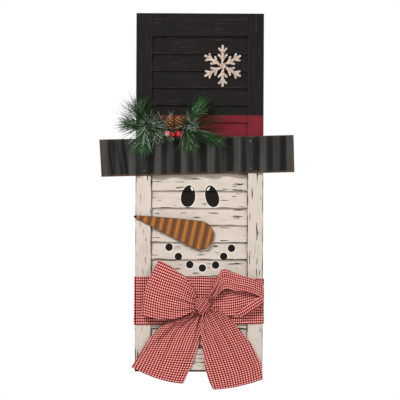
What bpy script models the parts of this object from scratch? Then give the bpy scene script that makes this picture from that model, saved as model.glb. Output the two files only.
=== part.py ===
"""A louvered wooden shutter dressed as a snowman, to hang on a wall.

A frame of two stiles and two rails holds nineteen fixed slats. The top of the frame is the
snowman's hat, the rest is its face. A corrugated steel brim is nailed across the stiles, a
corrugated steel nose stands off the face on a block, and a ribbon scarf with a bow goes
round the frame. Two D-ring hangers are screwed to the backs of the stiles.

The front faces -Y and the wall is at +Y. The origin is the middle of the top rail's back
face, which rests on the wall. Lengths are in metres.
"""
import math

import bmesh
import bpy
from mathutils import Matrix, Vector

MM = 0.001
GAP = 0.3 * MM

# Frame
BOARD_WIDTH = 325.5 * MM
BOARD_HEIGHT = 914.4 * MM
BOARD_THICKNESS = 22.0 * MM
STILE_WIDTH = 40.75 * MM
RAIL_HEIGHT = 58.0 * MM
TENON_LENGTH = 20.0 * MM
TENON_THICKNESS = 10.0 * MM
TENON_HEIGHT = 40.0 * MM
EDGE_ROUND = 1.0 * MM

# Slats
SLAT_COUNT = 19
SLAT_PITCH = 43.7 * MM
SLAT_WIDTH = 49.5 * MM
CLOSING_SLAT_WIDTH = 16.0 * MM
CLOSING_SLAT_SETBACK = 8.5 * MM
SLAT_THICKNESS = 5.0 * MM
SLAT_TILT = math.radians(10.0)
SLAT_SETBACK = 3.5 * MM
FIRST_SLAT_DROP = 45.7 * MM
DADO_DEPTH = 6.0 * MM

# Hat brim: one corrugated sheet
BRIM_LENGTH = 494.0 * MM
BRIM_HEIGHT = 95.2 * MM
BRIM_TILT = math.radians(1.64)
BRIM_CENTRE_X = -6.1 * MM
BRIM_CENTRE_Z = -334.8 * MM
BRIM_PITCH = 67.5 * MM
BRIM_AMPLITUDE = 6.35 * MM
BRIM_CREST_X = 27.8 * MM
BRIM_SHEET = 0.8 * MM
NAIL_LEFT_X = -141.5 * MM
NAIL_RIGHT_X = 130.2 * MM
NAIL_SPREAD = 34.5 * MM
NAIL_HEAD_RADIUS = 2.6 * MM
NAIL_SHANK_RADIUS = 0.8 * MM
NAIL_LENGTH = 15.0 * MM
NAIL_HEAD_GAP = 0.9 * MM

# Carrot nose: a corrugated teardrop
NOSE_BULB_X = 1.6 * MM
NOSE_BULB_Z = -538.2 * MM
NOSE_BULB_RADIUS = 35.5 * MM
NOSE_TIP_RADIUS = 3.0 * MM
NOSE_REACH = 172.5 * MM
NOSE_FALL = math.radians(-16.0)
NOSE_UPPER_BOW = 3.0 * MM
NOSE_PITCH = 21.0 * MM
NOSE_RIDGE_LEAN = math.radians(12.5)
NOSE_FIRST_RIDGE = 3.1 * MM
NOSE_AMPLITUDE = 2.5 * MM
NOSE_MEAN_Y = -27.4 * MM
NOSE_SHEET = 0.8 * MM
SPACER_WIDTH = 34.0 * MM
SPACER_HEIGHT = 42.0 * MM

# Snowflake on the hat
FLAKE_X = 57.8 * MM
FLAKE_Z = -104.8 * MM
FLAKE_RADIUS = 53.7 * MM
FLAKE_STROKE = 3.0 * MM
FLAKE_THICKNESS = 4.0 * MM

# Pine sprig
STEM_Y = -40.5 * MM
STEM_RADIUS = 1.5 * MM
BRANCH_BASE_RADIUS = 3.0 * MM
BRANCH_TIP_RADIUS = 1.0 * MM
BRANCH_ROOT = 9.0 * MM
LEFT_BURST = Vector((-142.0, -46.5, -262.7)) * MM
RIGHT_BURST = Vector((-38.4, -46.5, -263.2)) * MM
CONE_RADIUS = 12.0 * MM
CONE_LENGTH = 35.0 * MM

# Scarf and bow
SCARF_TOP = -643.0 * MM
SCARF_BOTTOM = -766.0 * MM
SCARF_THICKNESS = 1.5 * MM
SCARF_CLEARANCE = 0.4 * MM
KNOT_X = 9.2 * MM
KNOT_Z = -716.5 * MM
KNOT_WIDTH = 36.0 * MM
KNOT_HEIGHT = 41.0 * MM
TAIL_BACK = -24.6 * MM
TAIL_FRONT = -31.0 * MM
LOOP_BACK = -31.6 * MM
LOOP_FRONT = -62.0 * MM
KNOT_FRONT = -58.0 * MM

# D-ring hangers on the back
HANGER_Z = -90.0 * MM
STRAP_WIDTH = 9.0 * MM
STRAP_LENGTH = 26.0 * MM
STRAP_SHEET = 0.8 * MM
EYE_OUTER_RADIUS = 2.0 * MM
EYE_INNER_RADIUS = 1.2 * MM
RING_WIRE_RADIUS = 0.9 * MM
RING_HALF_WIDTH = 6.9 * MM
RING_SIDE = 5.0 * MM
RING_CORNER = 1.5 * MM
SCREW_DROP = 17.0 * MM
SCREW_HEAD_RADIUS = 3.2 * MM
SCREW_SHANK_RADIUS = 1.4 * MM
SCREW_LENGTH = 13.0 * MM

# Derived
BOARD_TOP = RAIL_HEIGHT / 2
BOARD_BOTTOM = BOARD_TOP - BOARD_HEIGHT
BOARD_FRONT = -BOARD_THICKNESS
HALF_WIDTH = BOARD_WIDTH / 2
OPENING_HALF = HALF_WIDTH - STILE_WIDTH
STILE_CENTRE = HALF_WIDTH - STILE_WIDTH / 2
OPENING_TOP = BOARD_TOP - RAIL_HEIGHT
SLAT_FRONT = BOARD_FRONT + SLAT_SETBACK
BRIM_MEAN_Y = BOARD_FRONT - 0.4 * MM - BRIM_AMPLITUDE - BRIM_SHEET / 2
EYE_Y = GAP + EYE_OUTER_RADIUS


def clear_scene():
    for obj in list(bpy.data.objects):
        bpy.data.objects.remove(obj, do_unlink=True)


def new_collection(name):
    collection = bpy.data.collections.new(name)
    bpy.context.scene.collection.children.link(collection)
    return collection


clear_scene()
PARTS = new_collection("shutter_snowman")
CUTTERS = new_collection("cutters")


def material(name, colour, roughness, metallic=0.0):
    result = bpy.data.materials.new(name)
    result.use_nodes = True
    shader = result.node_tree.nodes["Principled BSDF"]
    shader.inputs["Base Color"].default_value = (*colour, 1.0)
    shader.inputs["Roughness"].default_value = roughness
    shader.inputs["Metallic"].default_value = metallic
    result.diffuse_color = (*colour, 1.0)
    return result


def black_paint(name):
    return material(name, (0.025, 0.021, 0.019), 0.75)


def red_paint(name):
    return material(name, (0.18, 0.026, 0.031), 0.75)


def cream_paint(name):
    return material(name, (0.66, 0.58, 0.51), 0.75)


def brim_steel(name):
    return material(name, (0.06, 0.055, 0.05), 0.5, 0.6)


def nose_steel(name):
    return material(name, (0.38, 0.14, 0.03), 0.6, 0.3)


def plated_steel(name):
    return material(name, (0.55, 0.52, 0.45), 0.35, 1.0)


def pine_green(name):
    return material(name, (0.05, 0.14, 0.05), 0.7)


def brown_cone(name):
    return material(name, (0.15, 0.07, 0.035), 0.8)


def berry_red(name):
    return material(name, (0.45, 0.01, 0.012), 0.25)


def gingham(name):
    return material(name, (0.45, 0.11, 0.1), 0.85)


def flake_paint(name):
    return material(name, (0.5, 0.38, 0.32), 0.7)


def add_part(name, data, paint):
    """A named object in the parts collection with its own material."""
    obj = bpy.data.objects.new(name, data)
    data.materials.append(paint(name + "_material"))
    PARTS.objects.link(obj)
    return obj


def mesh_from(name, build):
    """A mesh made by a function that fills a bmesh."""
    shape = bmesh.new()
    build(shape)
    bmesh.ops.recalc_face_normals(shape, faces=shape.faces)
    mesh = bpy.data.meshes.new(name)
    shape.to_mesh(mesh)
    shape.free()
    return mesh


def add_box(shape, low, high):
    centre = [(a + b) / 2 for a, b in zip(low, high)]
    size = [b - a for a, b in zip(low, high)]
    matrix = Matrix.Translation(centre) @ Matrix.Diagonal((*size, 1.0))
    bmesh.ops.create_cube(shape, size=1.0, matrix=matrix)


def box_mesh(name, low, high):
    return mesh_from(name, lambda shape: add_box(shape, low, high))


def add_cutter(name, build):
    cutter = bpy.data.objects.new(name, mesh_from(name, build))
    cutter.hide_render = True
    cutter.display_type = "WIRE"
    CUTTERS.objects.link(cutter)
    return cutter


def combine(target, other, operation="DIFFERENCE"):
    modifier = target.modifiers.new(other.name, "BOOLEAN")
    modifier.operation = operation
    modifier.solver = "EXACT"
    modifier.object = other


def round_edges(obj, width):
    modifier = obj.modifiers.new("rounded_edges", "BEVEL")
    modifier.width = width
    modifier.segments = 1
    modifier.limit_method = "ANGLE"


def thicken(obj, thickness, offset=0.0):
    modifier = obj.modifiers.new("sheet_thickness", "SOLIDIFY")
    modifier.thickness = thickness
    modifier.offset = offset
    modifier.use_even_offset = True


def bore(shape, centre, radius, depth_from, depth_to, sides=12):
    """A cylinder along Y from one depth to another, for cutting a hole."""
    middle = Vector((centre[0], (depth_from + depth_to) / 2, centre[1]))
    matrix = Matrix.Translation(middle) @ Matrix.Rotation(math.radians(90.0), 4, "X")
    bmesh.ops.create_cone(shape, cap_ends=True, segments=sides, radius1=radius, radius2=radius,
                          depth=abs(depth_to - depth_from), matrix=matrix)


def turned(name, profile, paint, location, rotation=(0.0, 0.0, 0.0), steps=12):
    """A solid of revolution about its own Z; the profile is (radius, height), top first."""
    mesh = bpy.data.meshes.new(name)
    points = [(radius, 0.0, height) for radius, height in profile]
    edges = [(i, i + 1) for i in range(len(points) - 1)]
    mesh.from_pydata(points, edges, [])
    obj = add_part(name, mesh, paint)
    obj.location = location
    obj.rotation_euler = rotation
    screw = obj.modifiers.new("turned", "SCREW")
    screw.angle = 2 * math.pi
    screw.steps = steps
    screw.render_steps = steps
    screw.use_merge_vertices = True
    screw.merge_threshold = 0.00001
    return obj


def flat_outline(name, points, paint, back, front):
    """A slab whose outline is given as (x, z) and which lies between two depths."""
    curve = bpy.data.curves.new(name, "CURVE")
    curve.dimensions = "2D"
    curve.fill_mode = "BOTH"
    curve.extrude = abs(back - front) / 2
    spline = curve.splines.new("POLY")
    spline.points.add(len(points) - 1)
    for point, (x, z) in zip(spline.points, points):
        point.co = (x, z, 0.0, 1.0)
    spline.use_cyclic_u = True
    obj = add_part(name, curve, paint)
    obj.location.y = (back + front) / 2
    obj.rotation_euler.x = math.radians(90.0)
    return obj


def wire(name, points, radii, paint, cyclic=False, resolution=2):
    """A round wire through the points, with a radius at each."""
    curve = bpy.data.curves.new(name, "CURVE")
    curve.dimensions = "3D"
    curve.bevel_depth = 1.0
    curve.bevel_resolution = resolution
    curve.use_fill_caps = not cyclic
    spline = curve.splines.new("POLY")
    spline.points.add(len(points) - 1)
    for point, place, radius in zip(spline.points, points, radii):
        point.co = (*place, 1.0)
        point.radius = radius
    spline.use_cyclic_u = cyclic
    return add_part(name, curve, paint)


# ---------------------------------------------------------------- frame and slats

def slat_width(index):
    """Whole slats, but for a narrow one that closes the bottom."""
    return CLOSING_SLAT_WIDTH if index == SLAT_COUNT - 1 else SLAT_WIDTH


def slat_matrix(index):
    """Place of a slat: its lower front edge sits on the slat line, its top leans back."""
    if index == SLAT_COUNT - 1:
        above_rail = SLAT_THICKNESS * math.sin(SLAT_TILT) + GAP
        rail_top = BOARD_BOTTOM + RAIL_HEIGHT
        corner = (0.0, SLAT_FRONT + CLOSING_SLAT_SETBACK, rail_top + above_rail)
    else:
        corner = (0.0, SLAT_FRONT, OPENING_TOP - FIRST_SLAT_DROP - index * SLAT_PITCH)
    lean = Matrix.Rotation(-SLAT_TILT, 4, "X")
    middle = Matrix.Translation((0.0, SLAT_THICKNESS / 2, slat_width(index) / 2))
    return Matrix.Translation(corner) @ lean @ middle


def tenon_box(side, low_z, clearance):
    """A rail's tenon, or with a clearance its mortise, at one end of the rail."""
    middle_y = BOARD_FRONT / 2
    middle_z = low_z + RAIL_HEIGHT / 2
    inner = OPENING_HALF - 1.0 * MM
    outer = OPENING_HALF + TENON_LENGTH + clearance
    x_values = sorted((side * inner, side * outer))
    half_y = TENON_THICKNESS / 2 + clearance
    half_z = TENON_HEIGHT / 2 + clearance
    low = (x_values[0], middle_y - half_y, middle_z - half_z)
    high = (x_values[1], middle_y + half_y, middle_z + half_z)
    return low, high


def nail_places(side):
    """(x, z) of the two brim nails on one stile, along a valley of the tilted brim."""
    x = NAIL_RIGHT_X if side > 0 else NAIL_LEFT_X
    z = BRIM_CENTRE_Z + (x - BRIM_CENTRE_X) * math.tan(BRIM_TILT)
    lean = NAIL_SPREAD * math.tan(BRIM_TILT)
    return [(x - lean, z + NAIL_SPREAD), (x + lean, z - NAIL_SPREAD)]


def slat_room(shape, index, x, length):
    """The space that a stretch of a slat needs, with a clearance all round."""
    size = (length, SLAT_THICKNESS + 2 * GAP, slat_width(index) + 2 * GAP)
    matrix = Matrix.Translation((x, 0.0, 0.0)) @ slat_matrix(index)
    bmesh.ops.create_cube(shape, size=1.0, matrix=matrix @ Matrix.Diagonal((*size, 1.0)))


def cut_stile(stile, side):
    def mortises(shape):
        for low_z in (BOARD_TOP - RAIL_HEIGHT, BOARD_BOTTOM):
            add_box(shape, *tenon_box(side, low_z, GAP))

    def dados(shape):
        inner = OPENING_HALF - 1.0 * MM
        outer = OPENING_HALF + DADO_DEPTH
        for index in range(SLAT_COUNT):
            slat_room(shape, index, side * (inner + outer) / 2, outer - inner)

    def pilot_holes(shape):
        for place in nail_places(side):
            bore(shape, place, NAIL_SHANK_RADIUS + GAP, BOARD_FRONT - 1.0 * MM,
                 BOARD_FRONT + NAIL_LENGTH, 8)
        screw_place = (side * STILE_CENTRE, HANGER_Z - SCREW_DROP)
        bore(shape, screw_place, SCREW_SHANK_RADIUS + GAP, 1.0 * MM, -SCREW_LENGTH, 12)

    for label, build in (("mortises", mortises), ("dados", dados), ("pilot_holes", pilot_holes)):
        combine(stile, add_cutter(f"{stile.name}_{label}", build))


def make_frame():
    for name, side in (("left_stile", -1), ("right_stile", 1)):
        x_values = sorted((side * OPENING_HALF, side * HALF_WIDTH))
        low = (x_values[0], BOARD_FRONT, BOARD_BOTTOM)
        high = (x_values[1], 0.0, BOARD_TOP)
        stile = add_part(name, box_mesh(name, low, high), cream_paint)
        round_edges(stile, EDGE_ROUND)
        cut_stile(stile, side)
    for name, low_z, paint in (("top_rail", BOARD_TOP - RAIL_HEIGHT, black_paint),
                               ("bottom_rail", BOARD_BOTTOM, cream_paint)):
        reach = OPENING_HALF - GAP
        low = (-reach, BOARD_FRONT, low_z)
        high = (reach, 0.0, low_z + RAIL_HEIGHT)
        rail = add_part(name, box_mesh(name, low, high), paint)

        def tenons(shape):
            for side in (-1, 1):
                add_box(shape, *tenon_box(side, low_z, 0.0))

        combine(rail, add_cutter(name + "_tenons", tenons), "UNION")

    def groove(shape):
        slat_room(shape, 0, 0.0, 2 * OPENING_HALF)

    combine(bpy.data.objects["top_rail"], add_cutter("top_rail_groove", groove))


def slat_paint(index):
    if index < 5:
        return black_paint
    return red_paint if index < 7 else cream_paint


def make_slats():
    reach = OPENING_HALF + DADO_DEPTH - GAP
    for index in range(SLAT_COUNT):
        name = f"louver_slat_{index + 1:02d}"
        width = slat_width(index)
        low = (-reach, -SLAT_THICKNESS / 2, -width / 2)
        high = (reach, SLAT_THICKNESS / 2, width / 2)
        slat = add_part(name, box_mesh(name, low, high), slat_paint(index))
        slat.matrix_world = slat_matrix(index)
        round_edges(slat, 0.8 * MM)


# ---------------------------------------------------------------- brim and its nails

def brim_depth(x):
    """Depth of the sheet's middle: crests stand towards the front, valleys meet the frame."""
    phase = 2 * math.pi * (x - BRIM_CREST_X) / BRIM_PITCH
    return BRIM_MEAN_Y - BRIM_AMPLITUDE * math.cos(phase)


def make_brim():
    columns = 80
    rows = 2

    def sheet(shape):
        bmesh.ops.create_grid(shape, x_segments=columns, y_segments=rows, size=0.5)
        for vert in shape.verts:
            along = vert.co.x * BRIM_LENGTH
            up = vert.co.y * BRIM_HEIGHT
            x = BRIM_CENTRE_X + along * math.cos(BRIM_TILT) - up * math.sin(BRIM_TILT)
            z = BRIM_CENTRE_Z + along * math.sin(BRIM_TILT) + up * math.cos(BRIM_TILT)
            vert.co = (x, brim_depth(x + (z - BRIM_CENTRE_Z) * math.tan(BRIM_TILT)), z)

    brim = add_part("hat_brim", mesh_from("hat_brim", sheet), brim_steel)
    thicken(brim, BRIM_SHEET)

    def nail_holes(shape):
        for side in (-1, 1):
            for place in nail_places(side):
                bore(shape, place, NAIL_SHANK_RADIUS + GAP, BOARD_FRONT + 1.0 * MM,
                     BOARD_FRONT - 6.0 * MM, 8)

    combine(brim, add_cutter("hat_brim_nail_holes", nail_holes))


def make_nails():
    head_back = BOARD_FRONT - 0.4 * MM - BRIM_SHEET - NAIL_HEAD_GAP
    head = 0.9 * MM
    shank_end = NAIL_LENGTH - 1.0 * MM - (BOARD_FRONT - head_back)
    profile = [(0.0, head), (NAIL_HEAD_RADIUS * 0.7, head), (NAIL_HEAD_RADIUS, head * 0.4),
               (NAIL_HEAD_RADIUS, 0.0), (NAIL_SHANK_RADIUS, 0.0),
               (NAIL_SHANK_RADIUS, -shank_end), (0.0, -shank_end - 1.5 * MM)]
    number = 0
    for side in (-1, 1):
        for x, z in nail_places(side):
            number += 1
            turned(f"brim_nail_{number}", profile, brim_steel, (x, head_back, z),
                   (math.radians(90.0), 0.0, 0.0), steps=10)


# ---------------------------------------------------------------- nose

def nose_half_width(along):
    """Half width of the teardrop at a distance from its very tip, along its axis."""
    tip_centre = NOSE_TIP_RADIUS
    bulb_centre = NOSE_TIP_RADIUS + NOSE_REACH
    slope = (NOSE_BULB_RADIUS - NOSE_TIP_RADIUS) / NOSE_REACH
    tangent = math.sqrt(1 - slope * slope)
    tip_joint = tip_centre - NOSE_TIP_RADIUS * slope
    bulb_joint = bulb_centre - NOSE_BULB_RADIUS * slope
    if along < tip_joint:
        return math.sqrt(max(0.0, NOSE_TIP_RADIUS ** 2 - (along - tip_centre) ** 2))
    if along > bulb_joint:
        return math.sqrt(max(0.0, NOSE_BULB_RADIUS ** 2 - (along - bulb_centre) ** 2))
    share = (along - tip_joint) / (bulb_joint - tip_joint)
    return (NOSE_TIP_RADIUS + (NOSE_BULB_RADIUS - NOSE_TIP_RADIUS) * share) * tangent


def nose_depth(x, z):
    across = ((x - NOSE_BULB_X) * math.cos(NOSE_RIDGE_LEAN)
              - (z - NOSE_BULB_Z) * math.sin(NOSE_RIDGE_LEAN) - NOSE_FIRST_RIDGE)
    return NOSE_MEAN_Y - NOSE_AMPLITUDE * math.cos(2 * math.pi * across / NOSE_PITCH)


def make_nose():
    rows = 64
    columns = 4
    length = NOSE_TIP_RADIUS + NOSE_REACH + NOSE_BULB_RADIUS
    axis = Vector((math.cos(NOSE_FALL), 0.0, math.sin(NOSE_FALL)))
    up = Vector((-math.sin(NOSE_FALL), 0.0, math.cos(NOSE_FALL)))
    tip = Vector((NOSE_BULB_X, 0.0, NOSE_BULB_Z)) - axis * (length - NOSE_BULB_RADIUS)

    def sheet(shape):
        bmesh.ops.create_grid(shape, x_segments=rows, y_segments=columns, size=0.5)
        for vert in shape.verts:
            share = vert.co.x + 0.5
            eased = share - math.sin(4 * math.pi * share) * 0.02
            along = length * min(max(eased, 0.0008), 0.9992)
            across = 2 * vert.co.y * nose_half_width(along)
            bow = NOSE_UPPER_BOW * math.sin(math.pi * share) * max(0.0, 2 * vert.co.y)
            place = tip + axis * along + up * (across + bow)
            vert.co = (place.x, nose_depth(place.x, place.z), place.z)

    nose = add_part("carrot_nose", mesh_from("carrot_nose", sheet), nose_steel)
    thicken(nose, NOSE_SHEET)


def make_nose_spacer():
    back = SLAT_FRONT - 0.4 * MM
    front = NOSE_MEAN_Y + NOSE_AMPLITUDE + NOSE_SHEET / 2 + GAP
    low = (NOSE_BULB_X - SPACER_WIDTH / 2, front, NOSE_BULB_Z - SPACER_HEIGHT / 2)
    high = (NOSE_BULB_X + SPACER_WIDTH / 2, back, NOSE_BULB_Z + SPACER_HEIGHT / 2)
    spacer = add_part("nose_spacer", box_mesh("nose_spacer", low, high), brown_cone)
    round_edges(spacer, 0.6 * MM)


# ---------------------------------------------------------------- snowflake

def twig(root, centre, radius):
    """Outline of a side twig from the arm's edge, round its end and back to the arm."""
    direction = (Vector(centre) - Vector((root, 0.0))).normalized()
    side = Vector((direction.y, -direction.x))
    lower = Vector((root, 0.0)) + side * radius
    lower += direction * ((FLAKE_STROKE - lower.y) / direction.y)
    upper = Vector((root, 0.0)) - side * radius
    upper += direction * ((FLAKE_STROKE - upper.y) / direction.y)
    end = [Vector(centre) + side * radius * math.cos(a) + direction * radius * math.sin(a)
           for a in (0.0, math.pi / 4, math.pi / 2, 3 * math.pi / 4, math.pi)]
    points = [upper, *reversed(end), lower]
    if lower.x < upper.x:
        points.reverse()
    return [(p.x, p.y) for p in points]


def half_arm():
    """One side of a snowflake arm as (distance along the arm, distance across it)."""
    valley = 9.3 * MM
    points = [(valley * math.cos(math.pi / 6), valley * math.sin(math.pi / 6)),
              (12.0 * MM, FLAKE_STROKE)]
    points += twig(17.0 * MM, (27.8 * MM, 10.0 * MM), 2.7 * MM)
    points += twig(33.5 * MM, (44.0 * MM, 9.2 * MM), 2.6 * MM)
    end = FLAKE_RADIUS - FLAKE_STROKE
    for angle in (90.0, 60.0, 30.0):
        turn = math.radians(angle)
        points.append((end + FLAKE_STROKE * math.cos(turn), FLAKE_STROKE * math.sin(turn)))
    return points


def make_snowflake():
    outline = []
    for arm in range(6):
        heading = math.pi / 2 - arm * math.pi / 3
        half = half_arm()
        sides = [(r, w) for r, w in half] + [(FLAKE_RADIUS, 0.0)]
        sides += [(r, -w) for r, w in reversed(half[1:])]
        for r, w in sides:
            x = FLAKE_X + r * math.cos(heading) - w * math.sin(heading)
            z = FLAKE_Z + r * math.sin(heading) + w * math.cos(heading)
            outline.append((x, z))
    back = SLAT_FRONT - 0.4 * MM
    flat_outline("snowflake", outline, flake_paint, back, back - FLAKE_THICKNESS)


# ---------------------------------------------------------------- pine sprig

def branch(name, burst, end, bend):
    """A tapering twig from near the burst's middle to its end, bowed by a small vector."""
    start = burst + (end - burst).normalized() * BRANCH_ROOT
    steps = 6
    points = []
    radii = []
    for step in range(steps + 1):
        share = step / steps
        points.append(start.lerp(end, share) + bend * math.sin(math.pi * share))
        radii.append(BRANCH_BASE_RADIUS + (BRANCH_TIP_RADIUS - BRANCH_BASE_RADIUS) * share)
    wire(name, points, radii, pine_green)


def make_sprig():
    stem = [(-150.0, -263.0), (-120.0, -261.0), (-90.0, -264.0), (-60.0, -262.0), (-34.0, -264.0)]
    stem_points = [Vector((x * MM, STEM_Y, z * MM)) for x, z in stem]
    wire("sprig_stem", stem_points, [STEM_RADIUS] * len(stem), brown_cone)
    branches = [
        (LEFT_BURST, (-188.0, -52.0, -252.0), (0.0, 0.0, 4.0)),
        (LEFT_BURST, (-160.0, -56.0, -212.0), (-4.0, 0.0, 0.0)),
        (LEFT_BURST, (-146.0, -56.0, -308.0), (-5.0, 0.0, 0.0)),
        (LEFT_BURST, (-126.0, -84.0, -246.0), (0.0, 0.0, 0.0)),
        (RIGHT_BURST, (9.0, -52.0, -196.0), (-4.0, 0.0, 5.0)),
        (RIGHT_BURST, (56.0, -54.0, -298.0), (0.0, 0.0, 8.0)),
        (RIGHT_BURST, (-24.0, -60.0, -306.0), (4.0, 0.0, 0.0)),
        (RIGHT_BURST, (-22.0, -84.0, -250.0), (0.0, 0.0, 0.0)),
    ]
    for number, (burst, end, bend) in enumerate(branches, 1):
        branch(f"pine_branch_{number}", burst, Vector(end) * MM, Vector(bend) * MM)


def cone_profile():
    """Egg-shaped profile of a pine cone, top first, wider below its middle."""
    steps = 8
    points = []
    for step in range(steps + 1):
        angle = math.pi * step / steps
        radius = CONE_RADIUS * math.sin(angle) * (1.0 - 0.12 * math.cos(angle))
        points.append((max(radius, 0.0), CONE_LENGTH / 2 * math.cos(angle)))
    points[0] = (0.0, CONE_LENGTH / 2)
    points[-1] = (0.0, -CONE_LENGTH / 2)
    return points


def make_cones_and_berries():
    cones = [(-76.6, -57.0, -254.0, 8.0), (-51.8, -62.0, -252.4, -8.0)]
    for number, (x, y, z, lean) in enumerate(cones, 1):
        turned(f"pine_cone_{number}", cone_profile(), brown_cone, Vector((x, y, z)) * MM,
               (0.0, -math.radians(lean), 0.0), steps=14)
    berries = [(-53.5, -76.0, -278.4, 7.5), (-82.1, -71.0, -277.3, 6.6), (-67.0, -64.0, -280.1, 5.5)]
    for number, (x, y, z, radius) in enumerate(berries, 1):
        name = f"berry_{number}"

        def ball(shape):
            bmesh.ops.create_uvsphere(shape, u_segments=14, v_segments=9, radius=radius * MM)

        berry = add_part(name, mesh_from(name, ball), berry_red)
        berry.location = Vector((x, y, z)) * MM


# ---------------------------------------------------------------- scarf and bow

def make_scarf_band():
    half = HALF_WIDTH + SCARF_CLEARANCE
    front = BOARD_FRONT - SCARF_CLEARANCE
    back = SCARF_CLEARANCE
    corner = 2.0 * MM

    def ring(shape):
        corners = [(half - corner, front + corner, -90.0), (half - corner, back - corner, 0.0),
                   (corner - half, back - corner, 90.0), (corner - half, front + corner, 180.0)]
        loop = []
        for x, y, start in corners:
            for step in range(4):
                turn = math.radians(start + 30.0 * step)
                place = (x + corner * math.cos(turn), y + corner * math.sin(turn), SCARF_BOTTOM)
                loop.append(shape.verts.new(place))
        edges = [shape.edges.new((loop[i - 1], loop[i])) for i in range(len(loop))]
        made = bmesh.ops.extrude_edge_only(shape, edges=edges)["geom"]
        raised = [item for item in made if isinstance(item, bmesh.types.BMVert)]
        bmesh.ops.translate(shape, verts=raised, vec=(0.0, 0.0, SCARF_TOP - SCARF_BOTTOM))

    band = add_part("scarf_band", mesh_from("scarf_band", ring), gingham)
    thicken(band, SCARF_THICKNESS, 1.0)


def in_metres(points):
    return [(x * MM, z * MM) for x, z in points]


def make_bow():
    left_loop = [(-100.0, -601.0), (-120.0, -629.0), (-138.0, -681.0), (-145.0, -719.0),
                 (-141.0, -744.0), (-68.0, -751.0), (-40.0, -745.0), (-11.6, -727.0),
                 (-11.6, -704.0), (-22.0, -659.0), (-40.0, -639.0)]
    right_loop = [(30.0, -703.0), (59.0, -624.0), (90.0, -632.0), (141.0, -650.5),
                  (163.0, -653.5), (165.0, -709.0), (99.0, -745.0), (63.0, -738.0), (30.0, -722.0)]
    left_tail = [(0.0, -733.0), (-86.0, -762.0), (-127.0, -806.0), (-171.0, -874.0),
                 (-133.0, -897.0), (-89.0, -910.0), (-38.5, -915.0), (-25.0, -885.0),
                 (-4.5, -830.0), (3.8, -794.0), (3.8, -751.0)]
    right_tail = [(13.0, -741.0), (5.0, -762.0), (5.0, -797.0), (10.0, -838.0), (25.0, -903.0),
                  (38.0, -931.0), (77.0, -928.0), (154.0, -911.0), (161.0, -905.0),
                  (165.0, -883.0), (161.0, -868.0), (122.0, -798.0), (78.0, -751.0), (34.0, -716.0)]
    flat_outline("bow_loop_left", in_metres(left_loop), gingham, LOOP_BACK, LOOP_FRONT)
    flat_outline("bow_loop_right", in_metres(right_loop), gingham, LOOP_BACK, LOOP_FRONT)
    flat_outline("bow_tail_left", in_metres(left_tail), gingham, TAIL_BACK, TAIL_FRONT)
    flat_outline("bow_tail_right", in_metres(right_tail), gingham, TAIL_BACK, TAIL_FRONT)
    sides = 16
    knot = []
    for side in range(sides):
        turn = 2 * math.pi * side / sides
        knot.append((KNOT_X + KNOT_WIDTH / 2 * math.cos(turn),
                     KNOT_Z + KNOT_HEIGHT / 2 * math.sin(turn)))
    flat_outline("bow_knot", knot, gingham, LOOP_BACK, KNOT_FRONT)


# ---------------------------------------------------------------- D-ring hangers

def strap_outline():
    """Side view of a hanger strap, (y, z) from the hinge: a plate curled into an eye."""
    start = [math.radians(15.0 * step) for step in range(20)]
    outer = [(EYE_Y - EYE_OUTER_RADIUS * math.cos(a), EYE_OUTER_RADIUS * math.sin(a)) for a in start]
    inner = [(EYE_Y - EYE_INNER_RADIUS * math.cos(a), EYE_INNER_RADIUS * math.sin(a)) for a in start]
    plate_outer = (GAP, -STRAP_LENGTH)
    plate_inner = (GAP + STRAP_SHEET, -STRAP_LENGTH)
    return [plate_outer, *outer, *reversed(inner), plate_inner]


def make_strap(name, x):
    curve = bpy.data.curves.new(name, "CURVE")
    curve.dimensions = "2D"
    curve.fill_mode = "BOTH"
    curve.extrude = STRAP_WIDTH / 2
    spline = curve.splines.new("POLY")
    outline = strap_outline()
    spline.points.add(len(outline) - 1)
    for point, (y, z) in zip(spline.points, outline):
        point.co = (y, z, 0.0, 1.0)
    spline.use_cyclic_u = True
    guide = bpy.data.objects.new(name + "_outline", curve)
    CUTTERS.objects.link(guide)
    upright = Matrix(((0, 0, 1, x), (1, 0, 0, 0), (0, 1, 0, HANGER_Z), (0, 0, 0, 1)))
    guide.matrix_world = upright
    bpy.context.view_layer.update()
    evaluated = guide.evaluated_get(bpy.context.evaluated_depsgraph_get())
    mesh = bpy.data.meshes.new_from_object(evaluated)
    shape = bmesh.new()
    shape.from_mesh(mesh)
    bmesh.ops.remove_doubles(shape, verts=shape.verts, dist=0.000001)
    bmesh.ops.recalc_face_normals(shape, faces=shape.faces)
    shape.to_mesh(mesh)
    shape.free()
    mesh.name = name
    bpy.data.objects.remove(guide)
    strap = add_part(name, mesh, plated_steel)
    strap.matrix_world = upright

    def hole(shape):
        bore(shape, (x, HANGER_Z - SCREW_DROP), SCREW_SHANK_RADIUS + GAP, -1.0 * MM, 3.0 * MM, 12)

    combine(strap, add_cutter(name + "_hole", hole))


def ring_path():
    """Middle line of a D-ring about its hinge: a straight bar and a round bow above it."""
    points = []
    for side, start in ((1, -90.0), (-1, 180.0)):
        if side < 0:
            for step in range(13):
                turn = math.radians(15.0 * step)
                points.append((RING_HALF_WIDTH * math.cos(turn),
                               RING_SIDE + RING_HALF_WIDTH * math.sin(turn)))
        centre = side * (RING_HALF_WIDTH - RING_CORNER)
        for step in range(4):
            turn = math.radians(start + 30.0 * step)
            points.append((centre + RING_CORNER * math.cos(turn),
                           RING_CORNER + RING_CORNER * math.sin(turn)))
    return [Vector((x, 0.0, z)) for x, z in points]


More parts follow.
